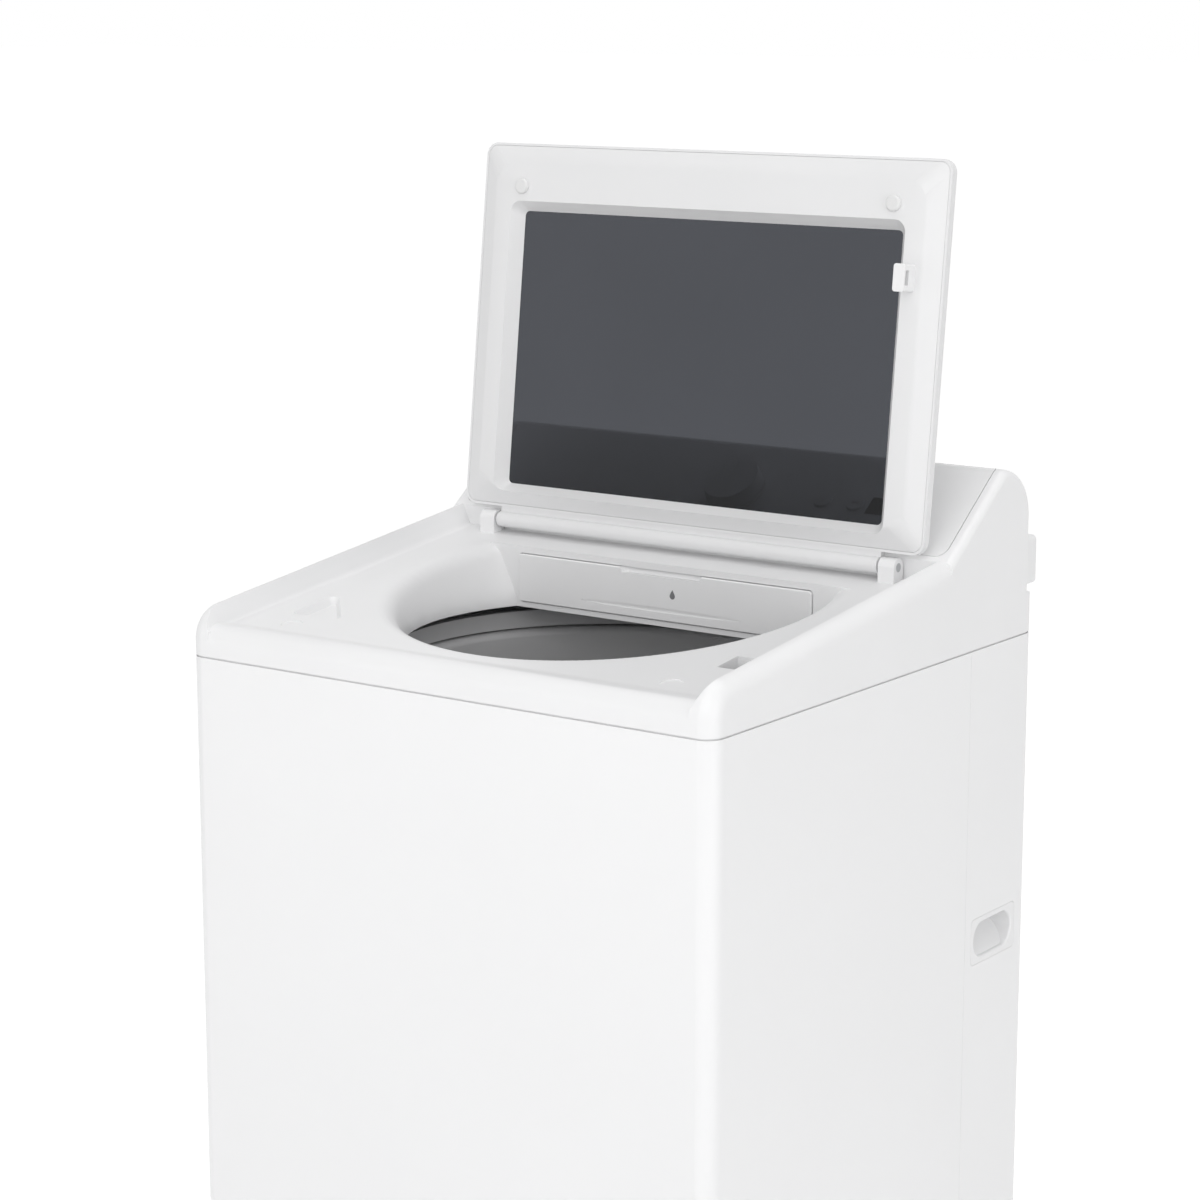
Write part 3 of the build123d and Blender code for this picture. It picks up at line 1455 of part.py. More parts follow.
with BuildPart() as rotor:
    with BuildSketch(tub_plane):
        with BuildLine():
            Polyline(
                (shaft_radius, rotor_z),
                (rotor_radius, rotor_z),
                (rotor_radius, rotor_z + rotor_height),
                (rotor_radius - rotor_wall, rotor_z + rotor_height),
                (rotor_radius - rotor_wall, rotor_z + rotor_wall),
                (rotor_boss, rotor_z + rotor_wall),
                (rotor_boss, tube_end_z - 2 * slide_gap),
                (shaft_radius, tube_end_z - 2 * slide_gap),
                close=True,
            )
        make_face()
    revolve(axis=tub_axis)
rotor.part.label = "rotor"
export_step(rotor.part, "parts/rotor.step")

# Suspension: four rods hung from the corner gussets, each with a spring under a tub lug
rod_head_radius = 12.0
rod_head = 8.0
rod_disc = 6.0
gusset_top_z = rod_seat_z + gusset_thickness
rod_disc_z = lug_height - spring_length
for corner, place in rod_places.items():
    with BuildPart() as rod:
        with BuildSketch(Plane.XY.offset(rod_disc_z - rod_disc)):
            with Locations(place):
                Circle(rod_cap_radius)
        extrude(amount=rod_disc)
        with BuildSketch(Plane.XY.offset(rod_disc_z)):
            with Locations(place):
                Circle(rod_radius)
        extrude(amount=gusset_top_z - rod_disc_z)
        with BuildSketch(Plane.XY.offset(gusset_top_z)):
            with Locations(place):
                Circle(rod_head_radius)
        extrude(amount=rod_head, taper=20)
    rod.part.label = f"suspension_rod_{corner}"
    export_step(rod.part, f"parts/suspension_rod_{corner}.step")
    with BuildPart() as spring:
        with BuildSketch(Plane.XY.offset(rod_disc_z)):
            with Locations(place):
                Circle(spring_radius)
                Circle(spring_radius - spring_wire, mode=Mode.SUBTRACT)
        extrude(amount=spring_length)
    spring.part.label = f"suspension_spring_{corner}"
    export_step(spring.part, f"parts/suspension_spring_{corner}.step")

# Water inlet: a valve block on the console's back with a hot and a cold threaded spigot
inlet_depth = 42.0
inlet_round = 6.0
inlet_block_z = joint_rear_z + slide_gap
inlet_face_y = console_back_y + inlet_depth
inlet_length = front + overall_depth - inlet_face_y
inlet_places = (
    (inlet_offset - inlet_spacing / 2, seam_height + inlet_rise),
    (inlet_offset + inlet_spacing / 2, seam_height + inlet_rise),
)
with BuildPart() as inlet_valve:
    with BuildSketch(Plane.XZ.offset(-console_back_y)):
        with Locations((inlet_offset, inlet_block_z + inlet_block_height / 2)):
            RectangleRounded(inlet_block_width, inlet_block_height, inlet_round)
    extrude(amount=-inlet_depth)
    with BuildSketch(Plane.XZ.offset(-inlet_face_y)):
        with Locations(*inlet_places):
            Circle(inlet_radius)
    extrude(amount=-inlet_length)
    with BuildSketch(Plane.XZ.offset(-(inlet_face_y + inlet_length))):
        with Locations(*inlet_places):
            Circle(inlet_bore)
    extrude(amount=2 * inlet_length, mode=Mode.SUBTRACT)
inlet_valve.part.label = "inlet_valve"
export_step(inlet_valve.part, "parts/inlet_valve.step")

# Drain: a pump on the base's rear edge and the hose outlet through the rear panel
volute_radius = 36.0
volute_length = 30.0
motor_radius = 26.0
motor_length = 46.0
nozzle_drop = 18.0
base_top_z = floor_gap + base_height
nozzle_y = back - sheet - base_width / 4
volute_y = nozzle_y - volute_length
volute_z = drain_height - nozzle_drop
with BuildPart() as drain_pump:
    with BuildSketch(Plane.XZ.offset(-volute_y)):
        with Locations((drain_offset, volute_z)):
            Circle(volute_radius)
        with Locations((drain_offset, (base_top_z + volute_z) / 2)):
            Rectangle(2 * motor_radius, volute_z - base_top_z)
    extrude(amount=-volute_length)
    with BuildSketch(Plane.XZ.offset(-volute_y)):
        with Locations((drain_offset, volute_z)):
            Circle(motor_radius)
    extrude(amount=motor_length)
drain_pump.part.label = "drain_pump"
export_step(drain_pump.part, "parts/drain_pump.step")

outlet_flange = 24.0
outlet_plate = 3.0
with BuildPart() as drain_outlet:
    with BuildSketch(Plane.XZ.offset(-nozzle_y)):
        with Locations((drain_offset, drain_height)):
            Circle(drain_radius)
    extrude(amount=-(back + rear_sheet + drain_length - nozzle_y))
    with BuildSketch(Plane.XZ.offset(-(back + rear_sheet))):
        with Locations((drain_offset, drain_height)):
            Circle(outlet_flange)
    extrude(amount=-outlet_plate)
    with BuildSketch(Plane.XZ.offset(-nozzle_y)):
        with Locations((drain_offset, drain_height)):
            Circle(drain_bore)
    extrude(amount=-(back + rear_sheet + drain_length - nozzle_y), mode=Mode.SUBTRACT)
drain_outlet.part.label = "drain_outlet"
export_step(drain_outlet.part, "parts/drain_outlet.step")
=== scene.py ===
# %% [markdown]
# # A white top load washing machine
#
# The solids of this machine come from a CAD model and are loaded as a fixed frame: cabinet, cover, lid,
# console, drawer, tub and drive. This script gives every surface its finish, models the pieces that a
# solid model keeps plain (drum holes, coil springs, screw heads, threads), and sets up a white studio.

# %% Load the frame
import json
import math

import bmesh
import bpy
from mathutils import Matrix, Vector


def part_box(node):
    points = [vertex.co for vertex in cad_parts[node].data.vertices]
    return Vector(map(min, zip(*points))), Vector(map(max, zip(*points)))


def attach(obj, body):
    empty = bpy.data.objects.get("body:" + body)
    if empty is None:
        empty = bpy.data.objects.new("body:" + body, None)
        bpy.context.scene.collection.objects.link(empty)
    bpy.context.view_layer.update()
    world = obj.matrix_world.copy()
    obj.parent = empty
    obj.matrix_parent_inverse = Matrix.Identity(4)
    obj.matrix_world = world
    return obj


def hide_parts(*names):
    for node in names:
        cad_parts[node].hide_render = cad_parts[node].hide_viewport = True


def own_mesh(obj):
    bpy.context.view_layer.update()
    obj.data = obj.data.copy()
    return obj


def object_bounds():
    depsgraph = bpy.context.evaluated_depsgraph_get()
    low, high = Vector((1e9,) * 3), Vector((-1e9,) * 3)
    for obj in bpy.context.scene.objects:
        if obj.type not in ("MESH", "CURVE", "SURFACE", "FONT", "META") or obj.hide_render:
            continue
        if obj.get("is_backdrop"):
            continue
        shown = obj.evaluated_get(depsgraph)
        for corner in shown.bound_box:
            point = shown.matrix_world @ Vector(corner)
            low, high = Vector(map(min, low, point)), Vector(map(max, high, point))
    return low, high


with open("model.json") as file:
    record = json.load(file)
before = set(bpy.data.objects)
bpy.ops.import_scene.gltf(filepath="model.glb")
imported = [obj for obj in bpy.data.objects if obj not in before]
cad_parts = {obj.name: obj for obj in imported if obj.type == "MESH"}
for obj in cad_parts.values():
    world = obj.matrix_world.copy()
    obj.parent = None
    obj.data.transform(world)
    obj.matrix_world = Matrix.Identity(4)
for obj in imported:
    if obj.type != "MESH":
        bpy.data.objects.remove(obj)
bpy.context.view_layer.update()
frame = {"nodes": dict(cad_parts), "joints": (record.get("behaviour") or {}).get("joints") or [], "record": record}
nodes = frame["nodes"]
for plain in list(bpy.data.materials):
    bpy.data.materials.remove(plain)

# %% [markdown]
# ## Soft shading on the solids
#
# A CAD solid arrives as loose flat triangles, so its rounded edges show facets. Its vertices may not be changed,
# but modifiers may be added. Modifiers shade it and leave its vertices as they are. Weld joins the triangles, Edge
# Split keeps real corners sharp and Weighted Normal keeps the large flats flat beside their rounded edges. A small
# bevel breaks the control panel's edge, so that it catches the light. Subdivision would be heavier and would pull
# the forms away from their true size.

# %% Shade the solids
crease_angle = math.radians(32)


def shade_softly(obj, angle=crease_angle, edge_radius=0.0):
    """Round the shading over small facets, and keep real corners sharp or break them by a small radius."""
    obj.data.shade_smooth()
    weld = obj.modifiers.new("Weld", "WELD")
    weld.merge_threshold = 0.00002
    if edge_radius:
        bevel = obj.modifiers.new("Bevel", "BEVEL")
        bevel.width = edge_radius
        bevel.segments = 3
        bevel.angle_limit = angle
    split = obj.modifiers.new("Edge Split", "EDGE_SPLIT")
    split.split_angle = angle
    weighted = obj.modifiers.new("Weighted Normal", "WEIGHTED_NORMAL")
    weighted.keep_sharp = True


edge_radii = {"console_panel": 0.0012}
for name, node in nodes.items():
    shade_softly(node, edge_radius=edge_radii.get(name, 0.0))
print("shaded", len(nodes), "solids")

# %% [markdown]
# ## Tools for the finishes
#
# Every finish is one Principled shader with a few texture nodes in front of it. The textures read Object
# coordinates, which are metres in the machine's own frame, so a scale of 500 means grains of about two
# millimetres. Image textures would need files and unwrapping, and procedural nodes need neither.

# %% Helpers for the finishes


def new_finish(name):
    """Start a finish: its material, node tree, shader and Object coordinates."""
    material = bpy.data.materials.new(name)
    material.use_nodes = True
    tree = material.node_tree
    shader = tree.nodes["Principled BSDF"]
    place = tree.nodes.new("ShaderNodeTexCoord").outputs["Object"]
    return material, tree, shader, place


def stretched(tree, place, scale):
    """Coordinates that are stretched along each axis."""
    mapping = tree.nodes.new("ShaderNodeMapping")
    mapping.inputs["Scale"].default_value = scale
    tree.links.new(place, mapping.inputs["Vector"])
    return mapping.outputs["Vector"]


def cloudy(tree, place, scale, detail=3.0):
    """A soft noise from 0 to 1 at that many grains a metre."""
    noise = tree.nodes.new("ShaderNodeTexNoise")
    noise.inputs["Scale"].default_value = scale
    noise.inputs["Detail"].default_value = detail
    tree.links.new(place, noise.inputs["Vector"])
    return noise.outputs["Fac"]


def tint(tree, shader, factor, dark, light):
    """Colour the shader between two tones along a factor. Noise mostly keeps between the two ends."""
    ramp = tree.nodes.new("ShaderNodeValToRGB")
    ends = ramp.color_ramp.elements
    for end, position, tone in zip(ends, (0.3, 0.7), (dark, light)):
        end.position = position
        end.color = (*tone, 1)
    tree.links.new(factor, ramp.inputs["Fac"])
    tree.links.new(ramp.outputs["Color"], shader.inputs["Base Color"])


def between(tree, factor, low, high):
    """Stretch a factor from 0 to 1 to another range."""
    span = tree.nodes.new("ShaderNodeMapRange")
    span.inputs["To Min"].default_value = low
    span.inputs["To Max"].default_value = high
    tree.links.new(factor, span.inputs["Value"])
    return span.outputs["Result"]


def relief(tree, shader, height, depth, strength):
    """Raise the surface by a height factor, to that depth in metres."""
    bump = tree.nodes.new("ShaderNodeBump")
    bump.inputs["Strength"].default_value = strength
    bump.inputs["Distance"].default_value = depth
    tree.links.new(height, bump.inputs["Height"])
    tree.links.new(bump.outputs["Normal"], shader.inputs["Normal"])


def moulded(name, dark, light, roughness, grain=900.0, depth=0.00002):
    """A moulded plastic: faint cloudiness, a fine satin grain and a little change of gloss."""
    material, tree, shader, place = new_finish(name)
    tint(tree, shader, cloudy(tree, place, 6.0), dark, light)
    tree.links.new(
        between(tree, cloudy(tree, place, 40.0), roughness - 0.04, roughness + 0.04),
        shader.inputs["Roughness"],
    )
    relief(tree, shader, cloudy(tree, place, grain, 2.0), depth, 0.5)
    return material


def machined(name, dark, light, roughness, stretch):
    """A bare metal with brush lines, stretched as the tool went."""
    material, tree, shader, place = new_finish(name)
    lines = cloudy(tree, stretched(tree, place, stretch), 1.0, 5.0)
    tint(tree, shader, lines, dark, light)
    tree.links.new(between(tree, lines, roughness - 0.06, roughness + 0.08), shader.inputs["Roughness"])
    relief(tree, shader, lines, 0.00001, 0.4)
    shader.inputs["Metallic"].default_value = 1.0
    return material


# %% [markdown]
# ## White enamel
#
# The cabinet is sheet steel with a baked enamel coat. Such paint is never quite flat: it dries with a
# faint orange peel of a few millimetres, which softens reflections. A fine noise in the relief gives that,
# and a thin clear coat on top keeps a crisp highlight along the folded corners.

# %% White enamel
white_enamel, tree, shader, place = new_finish("white_enamel")
tint(tree, shader, cloudy(tree, place, 3.0), (0.84, 0.84, 0.845), (0.85, 0.85, 0.855))
tree.links.new(between(tree, cloudy(tree, place, 25.0), 0.28, 0.32), shader.inputs["Roughness"])
relief(tree, shader, cloudy(tree, place, 380.0, 1.0), 0.000005, 0.2)
shader.inputs["Coat Weight"].default_value = 0.25
shader.inputs["Coat Roughness"].default_value = 0.12
print("made", white_enamel.name)

# %% [markdown]
# ## Plastics
#
# The cover and console are white mouldings with a satin grain. The lid is the same white moulding, painted a
# slightly greyer white as painted shade for the lesser light it gets; the panel is a light grey, and the ring and
# the tub cover a middle grey. One helper makes them all, because they differ only in tone, gloss and grain.

# %% Plastics
white_plastic = moulded("white_plastic", (0.83, 0.83, 0.835), (0.845, 0.845, 0.85), 0.36)
# The lid's greyer white is painted shade on the same white plastic as the cover.
lid_white_painted_shade = moulded("lid_white_painted_shade", (0.765, 0.765, 0.77), (0.78, 0.78, 0.785), 0.36)
panel_grey = moulded("panel_grey", (0.79, 0.79, 0.795), (0.81, 0.81, 0.815), 0.24)
grey_plastic = moulded("grey_plastic", (0.46, 0.46, 0.465), (0.50, 0.50, 0.505), 0.42)
tub_plastic = moulded("tub_plastic", (0.52, 0.53, 0.54), (0.57, 0.58, 0.59), 0.5, 500.0, 0.00004)
dark_plastic = moulded("dark_plastic", (0.012, 0.012, 0.013), (0.02, 0.02, 0.022), 0.5, 600.0, 0.00004)
bumper_rubber = moulded("bumper_rubber", (0.72, 0.72, 0.72), (0.77, 0.77, 0.77), 0.7, 700.0, 0.00004)
foot_rubber = moulded("foot_rubber", (0.010, 0.010, 0.010), (0.02, 0.02, 0.02), 0.75, 500.0, 0.00006)

display_black, tree, shader, place = new_finish("display_black")
tint(tree, shader, cloudy(tree, place, 60.0), (0.004, 0.004, 0.005), (0.007, 0.007, 0.008))
tree.links.new(between(tree, cloudy(tree, place, 200.0), 0.05, 0.09), shader.inputs["Roughness"])
print("made 9 plastics and rubbers")

# %% [markdown]
# ## Tinted glass
#
# The lid's pane is grey glass: it darkens what is behind it and mirrors the studio a little. A shader with
# full transmission does both, and a very faint waviness keeps the reflections from looking computed.

# %% Tinted glass
tinted_glass, tree, shader, place = new_finish("tinted_glass")
tint(tree, shader, cloudy(tree, place, 4.0), (0.062, 0.066, 0.076), (0.066, 0.070, 0.081))
relief(tree, shader, cloudy(tree, place, 30.0, 1.0), 0.00002, 0.2)
shader.inputs["Transmission Weight"].default_value = 1.0
shader.inputs["Roughness"].default_value = 0.02
shader.inputs["IOR"].default_value = 1.22
print("made", tinted_glass.name)

# %% [markdown]
# ## Metals
#
# The basket is brushed stainless steel, its lines running round the drum. The plain steel parts are zinc
# plated, which shows as a patchwork of crystals, and the hub and bearing are sand cast.

# %% Metals
stainless = machined("stainless", (0.76, 0.76, 0.77), (0.86, 0.86, 0.87), 0.34, (4, 4, 900))
motor_steel = machined("motor_steel", (0.10, 0.10, 0.105), (0.16, 0.16, 0.165), 0.5, (90, 90, 90))

zinc_steel, tree, shader, place = new_finish("zinc_steel")
spangle = tree.nodes.new("ShaderNodeTexVoronoi")
spangle.inputs["Scale"].default_value = 150.0
tree.links.new(place, spangle.inputs["Vector"])
grey_cell = tree.nodes.new("ShaderNodeSeparateColor")
tree.links.new(spangle.outputs["Color"], grey_cell.inputs["Color"])
tint(tree, shader, grey_cell.outputs["Red"], (0.50, 0.51, 0.52), (0.55, 0.56, 0.57))
tree.links.new(between(tree, grey_cell.outputs["Green"], 0.38, 0.45), shader.inputs["Roughness"])
relief(tree, shader, cloudy(tree, place, 300.0), 0.00002, 0.4)
shader.inputs["Metallic"].default_value = 1.0

cast_alloy, tree, shader, place = new_finish("cast_alloy")
sand = cloudy(tree, place, 700.0, 4.0)
tint(tree, shader, cloudy(tree, place, 30.0), (0.42, 0.43, 0.44), (0.52, 0.53, 0.54))
tree.links.new(between(tree, sand, 0.45, 0.6), shader.inputs["Roughness"])
relief(tree, shader, sand, 0.0001, 0.6)
shader.inputs["Metallic"].default_value = 1.0
print("made 4 metals")

# %% [markdown]
# ## Finishes on the solids
#
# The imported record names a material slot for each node, and the finishes above carry the same names, so
# one loop dresses the whole machine. Assigning by hand would say the same thing twice.

# %% Dress the solids
finishes = {
    material.name: material
    for material in (
        white_enamel, white_plastic, panel_grey, grey_plastic, tub_plastic, dark_plastic, bumper_rubber,
        foot_rubber, display_black, tinted_glass, stainless, motor_steel, zinc_steel, cast_alloy,
    )
}


def dress(obj, material):
    """Give a piece one finish all over."""
    obj.data.materials.clear()
    obj.data.materials.append(material)


for row in frame["record"]["subparts"]:
    dress(nodes[row["node"]], finishes[row["material_slot"]])
# The lid takes the greyer copy of the white plastic, which paints its shade.
for name in ("lid_frame", "lid_inner_frame"):
    dress(nodes[name], lid_white_painted_shade)

# %% [markdown]
# ## Tools for new pieces
#
# The small forms below are made with bmesh, Blender's mesh editing kit. Each starts from a circle, a grid
# or a few points and grows by spinning, extruding or copying, as on a lathe or a press. The place of a
# piece is in its vertices, so its object stays at the origin, as the solids do.

# %% Helpers for new pieces
sharp_angle = math.radians(35)


def edges_of(geometry):
    """The edges among the things that an operator made."""
    return [thing for thing in geometry if isinstance(thing, bmesh.types.BMEdge)]


def verts_of(geometry):
    """The vertices among the things that an operator made."""
    return [thing for thing in geometry if isinstance(thing, bmesh.types.BMVert)]


def add_piece(name, mesh, body, finish, takes=()):
    """Turn a bmesh into a piece that moves with a body, and hide the solids it takes over."""
    bmesh.ops.remove_doubles(mesh, verts=mesh.verts, dist=0.000005)
    bmesh.ops.recalc_face_normals(mesh, faces=mesh.faces)
    for edge in mesh.edges:
        edge.smooth = edge.calc_face_angle(0.0) < sharp_angle
    for face in mesh.faces:
        face.smooth = True
    data = bpy.data.meshes.new(name)
    mesh.to_mesh(data)
    mesh.free()
    piece = bpy.data.objects.new(name, data)
    bpy.context.scene.collection.objects.link(piece)
    dress(piece, finish)
    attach(piece, body)
    if takes:
        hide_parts(*takes)
    print("made", name, "with", len(data.polygons), "faces")
    return piece


def outline(mesh, points, closed=False):
    """Join points by edges, and return the vertices with the edges for an operator."""
    verts = [mesh.verts.new(point) for point in points]
    pairs = list(zip(verts, verts[1:]))
    if closed:
        pairs.append((verts[-1], verts[0]))
    return verts + [mesh.edges.new(pair) for pair in pairs]


def lathe(mesh, profile, steps=64):
    """Spin a profile of (radius, height) points round the Z axis at the origin."""
    closed = profile[0] == profile[-1]
    points = [(radius, 0.0, height) for radius, height in (profile[:-1] if closed else profile)]
    bmesh.ops.spin(
        mesh, geom=outline(mesh, points, closed), cent=(0, 0, 0), axis=(0, 0, 1),
        angle=math.tau, steps=steps, use_merge=True,
    )


def coil(mesh, section, pitch, turns, steps=20):
    """Sweep a closed section of (radius, height) points along a helix round Z, and close its ends."""
    start = outline(mesh, [(radius, 0.0, height) for radius, height in section], True)
    swept = bmesh.ops.spin(
        mesh, geom=start, cent=(0, 0, 0), axis=(0, 0, 1), angle=math.tau * turns,
        steps=round(turns * steps), dvec=(0, 0, pitch / steps),
    )
    bmesh.ops.edgeloop_fill(mesh, edges=edges_of(start))
    bmesh.ops.edgeloop_fill(mesh, edges=edges_of(swept["geom_last"]))


def put(mesh, place, forward=(0, 0, 1)):
    """Turn a mesh made round the Z axis so that it faces forward, and move it to its place."""
    turn = Vector((0, 0, 1)).rotation_difference(Vector(forward)).to_matrix().to_4x4()
    bmesh.ops.transform(mesh, matrix=Matrix.Translation(place) @ turn, verts=mesh.verts)


def merge_into(target, mesh):
    """Add one bmesh to another and free it."""
    carrier = bpy.data.meshes.new("carrier")
    mesh.to_mesh(carrier)
    mesh.free()
    target.from_mesh(carrier)
    bpy.data.meshes.remove(carrier)


# %% [markdown]
# ## Perforated drum
#
# The drum is a rolled sheet with rows of small round holes, each row shifted by half a step, between two
# rolled beads. Cutting a thousand holes with booleans is slow and leaves poor faces. Here one slanted cell
# with an eight-sided hole is bridged, copied into a flat sheet and wrapped round the drum's axis. The slant
# is half a cell, so the rows come out staggered and their edges still meet.

# %% Perforated drum
ring_low, ring_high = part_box("balance_ring")
drum_low, drum_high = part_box("wash_basket")
drum_axis = (ring_low + ring_high) / 2
drum_outer = (ring_high.x - ring_low.x) / 2
bead_height = (drum_high.x - drum_low.x) / 2 - drum_outer
drum_sheet = 0.001
hole_radius = 0.0021
hole_columns = 60
hole_rows = 18
bead_span = 0.014
lower_bead = drum_low.z + 5 * bead_span
upper_bead = drum_high.z - 2 * bead_span
holes_low = lower_bead + bead_span
holes_high = upper_bead - bead_span
cell_width = math.tau * drum_outer / hole_columns
cell_height = (holes_high - holes_low) / hole_rows

drum = bmesh.new()
cell = outline(
    drum,
    [
        (0, 0, holes_low),
        (cell_width, 0, holes_low),
        (1.5 * cell_width, 0, holes_low + cell_height),
        (0.5 * cell_width, 0, holes_low + cell_height),
    ],
    True,
)
bmesh.ops.subdivide_edges(drum, edges=edges_of(cell), cuts=1)
hole_place = Matrix.Translation((0.75 * cell_width, 0, holes_low + 0.5 * cell_height))
bmesh.ops.create_circle(
    drum, segments=8, radius=hole_radius, matrix=hole_place @ Matrix.Rotation(math.radians(90), 4, "X")
)
bmesh.ops.bridge_loops(drum, edges=drum.edges[:])
bmesh.ops.spin(
    drum, geom=drum.verts[:] + drum.edges[:] + drum.faces[:], cent=(0, 0, 0), axis=(0, 0, 1), angle=0.0,
    steps=hole_columns - 1, dvec=(cell_width, 0, 0), use_duplicate=True,
)
bmesh.ops.spin(
    drum, geom=drum.verts[:] + drum.edges[:] + drum.faces[:], cent=(0, 0, 0), axis=(0, 0, 1), angle=0.0,
    steps=hole_rows - 1, dvec=(cell_width / 2, 0, cell_height), use_duplicate=True,
)
for vert in drum.verts:
    turned = vert.co.x / drum_outer
    vert.co = (drum_outer * math.cos(turned), drum_outer * math.sin(turned), vert.co.z)
bmesh.ops.remove_doubles(drum, verts=drum.verts, dist=0.00005)


def pull_rim(mesh, height, path):
    """Extrude the drum's open rim at a height along a path of (radius, height) points."""
    rim = [
        edge for edge in mesh.edges
        if edge.is_boundary and all(abs(vert.co.z - height) < 0.0001 for vert in edge.verts)
    ]
    for radius, level in path:
        grown = bmesh.ops.extrude_edge_only(mesh, edges=rim)["geom"]
        for vert in verts_of(grown):
            flat = vert.co.xy.normalized() * radius
            vert.co = (flat.x, flat.y, level)
        rim = [edge for edge in edges_of(grown) if edge.is_boundary]


bead_steps = 6
bead_path = [
    (drum_outer + bead_height * math.sin(math.pi * k / bead_steps), (2 * k / bead_steps - 1) * bead_span)
    for k in range(1, bead_steps + 1)
]
upper_path = [(radius, upper_bead + rise) for radius, rise in bead_path]
lower_path = [(radius, lower_bead - rise) for radius, rise in bead_path]
pull_rim(drum, holes_high, upper_path + [(drum_outer, drum_high.z)])
pull_rim(drum, holes_low, lower_path + [(drum_outer, drum_low.z)])
bmesh.ops.recalc_face_normals(drum, faces=drum.faces)
drum.faces.ensure_lookup_table()
first_face = drum.faces[0]
if first_face.normal.xy.dot(first_face.calc_center_median().xy) < 0:
    bmesh.ops.reverse_faces(drum, faces=drum.faces)
bmesh.ops.solidify(drum, geom=drum.faces[:], thickness=drum_sheet)
put(drum, (drum_axis.x, drum_axis.y, 0))
add_piece("drum", drum, "basket", stainless, ["wash_basket"])

# %% [markdown]
# ## Suspension springs
#
# Each rod carries a coil spring that holds the tub. A coil is a small ring swept along a helix, which spin
# does when it also climbs. Its lower end rests on the rod's cup and its upper end carries the tub; the coil
# moves with the machine's body.

# %% Suspension springs
corners = ("front_left", "front_right", "rear_left", "rear_right")
wire_radius = 0.002
wire_sides = 8
spring_turns = 6.5
for corner in corners:
    low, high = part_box("suspension_spring_" + corner)
    middle = (low + high) / 2
    mean_radius = (high.x - low.x) / 2 - wire_radius
    wire = []
    for k in range(wire_sides):
        turned = math.tau * k / wire_sides
        wire.append((mean_radius + wire_radius * math.cos(turned), wire_radius * (1 + math.sin(turned))))
    spring = bmesh.new()
    coil(spring, wire, (high.z - low.z - 2 * wire_radius) / spring_turns, spring_turns, 24)
    put(spring, (middle.x, middle.y, low.z))
    solid = "suspension_spring_" + corner
    piece = add_piece("coil_spring_" + corner, spring, "machine", zinc_steel, [solid])
    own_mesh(piece)

# %% [markdown]
# ## Levelling feet
#
# A foot is a moulded pad with a notched grip rim, so that it can be turned by hand, and a threaded stud.
# The pad is turned on a lathe and every second step of its rim pulled in. The thread is a small wedge swept
# along a helix round a plain core.

# %% Levelling feet
grip_steps = 40
grip_depth = 0.0012
grip_edge = 0.0010
pad_height = 0.012
pad_chamfer = 0.0035
pad_groove = 0.0015
pad_draft = 0.0008
boss_radius = 0.010
boss_rise = 0.0015
stud_radius = 0.005
stud_chamfer = 0.0006
thread_depth = 0.0007
thread_pitch = 0.0015
thread_start = 0.002
thread_margin = 0.005
core_radius = stud_radius - thread_depth


def thread_on(mesh, outer, depth, pitch, start, turns, steps=16):
    """Wind a screw thread of that depth round the Z axis, from a start height."""
    ridge = [
        (outer - depth, 0.0), (outer, 0.35 * pitch), (outer, 0.5 * pitch), (outer - depth, 0.85 * pitch),
    ]
    winding = bmesh.new()
    coil(winding, ridge, pitch, turns, steps)
    put(winding, (0, 0, start))
    merge_into(mesh, winding)


for corner in corners:
    low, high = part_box("foot_" + corner)
    middle = (low + high) / 2
    pad_radius = (high.x - low.x) / 2
    pad = bmesh.new()
    lathe(
        pad,
        [
            (0.0, 0.0), (pad_radius - pad_chamfer, 0.0), (pad_radius - pad_groove, 0.0012),
            (pad_radius - pad_groove, 0.0026), (pad_radius, 0.0034),
            (pad_radius - pad_draft, pad_height - 0.003), (pad_radius - pad_chamfer, pad_height),
            (boss_radius, pad_height), (boss_radius - 0.001, pad_height + boss_rise),
            (0.0, pad_height + boss_rise),
        ],
        grip_steps,
    )
    for vert in pad.verts:
        reach = vert.co.xy.length
        step = round(math.atan2(vert.co.y, vert.co.x) / math.tau * grip_steps)
        if reach > pad_radius - grip_edge and step % 2:
            vert.co.xy *= (reach - grip_depth) / reach
    put(pad, (middle.x, middle.y, 0))
    add_piece("foot_pad_" + corner, pad, "foot_" + corner, foot_rubber, ["foot_" + corner])
    stud = bmesh.new()
    lathe(
        stud,
        [
            (0.0, pad_height), (core_radius, pad_height), (core_radius, high.z - stud_chamfer),
            (core_radius - thread_depth, high.z), (0.0, high.z),
        ],
        24,
    )
    stud_turns = math.floor((high.z - pad_height - thread_margin) / thread_pitch)
    thread_on(stud, stud_radius, thread_depth, thread_pitch, pad_height + thread_start, stud_turns)
    put(stud, (middle.x, middle.y, 0))
    add_piece("foot_stud_" + corner, stud, "foot_" + corner, zinc_steel)

# %% [markdown]
# ## Rear panel screws
#
# Pan head screws with a cross recess hold the rear panel. A grid of five by five squares is pressed into a
# round dome, and the squares of the cross are pushed in, which keeps the faces even. A boolean cut would
# give the same cross with worse faces.

# %% Rear panel screws
screw_low, screw_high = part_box("rear_panel_screws")
screw_height = screw_high.y - screw_low.y
screw_radius = 0.0045
dome_share = 0.35
recess_depth = 0.0012
recess_reach = 0.6 * screw_radius
recess_taper = 0.85
screw_columns = 2
screw_rows = 4


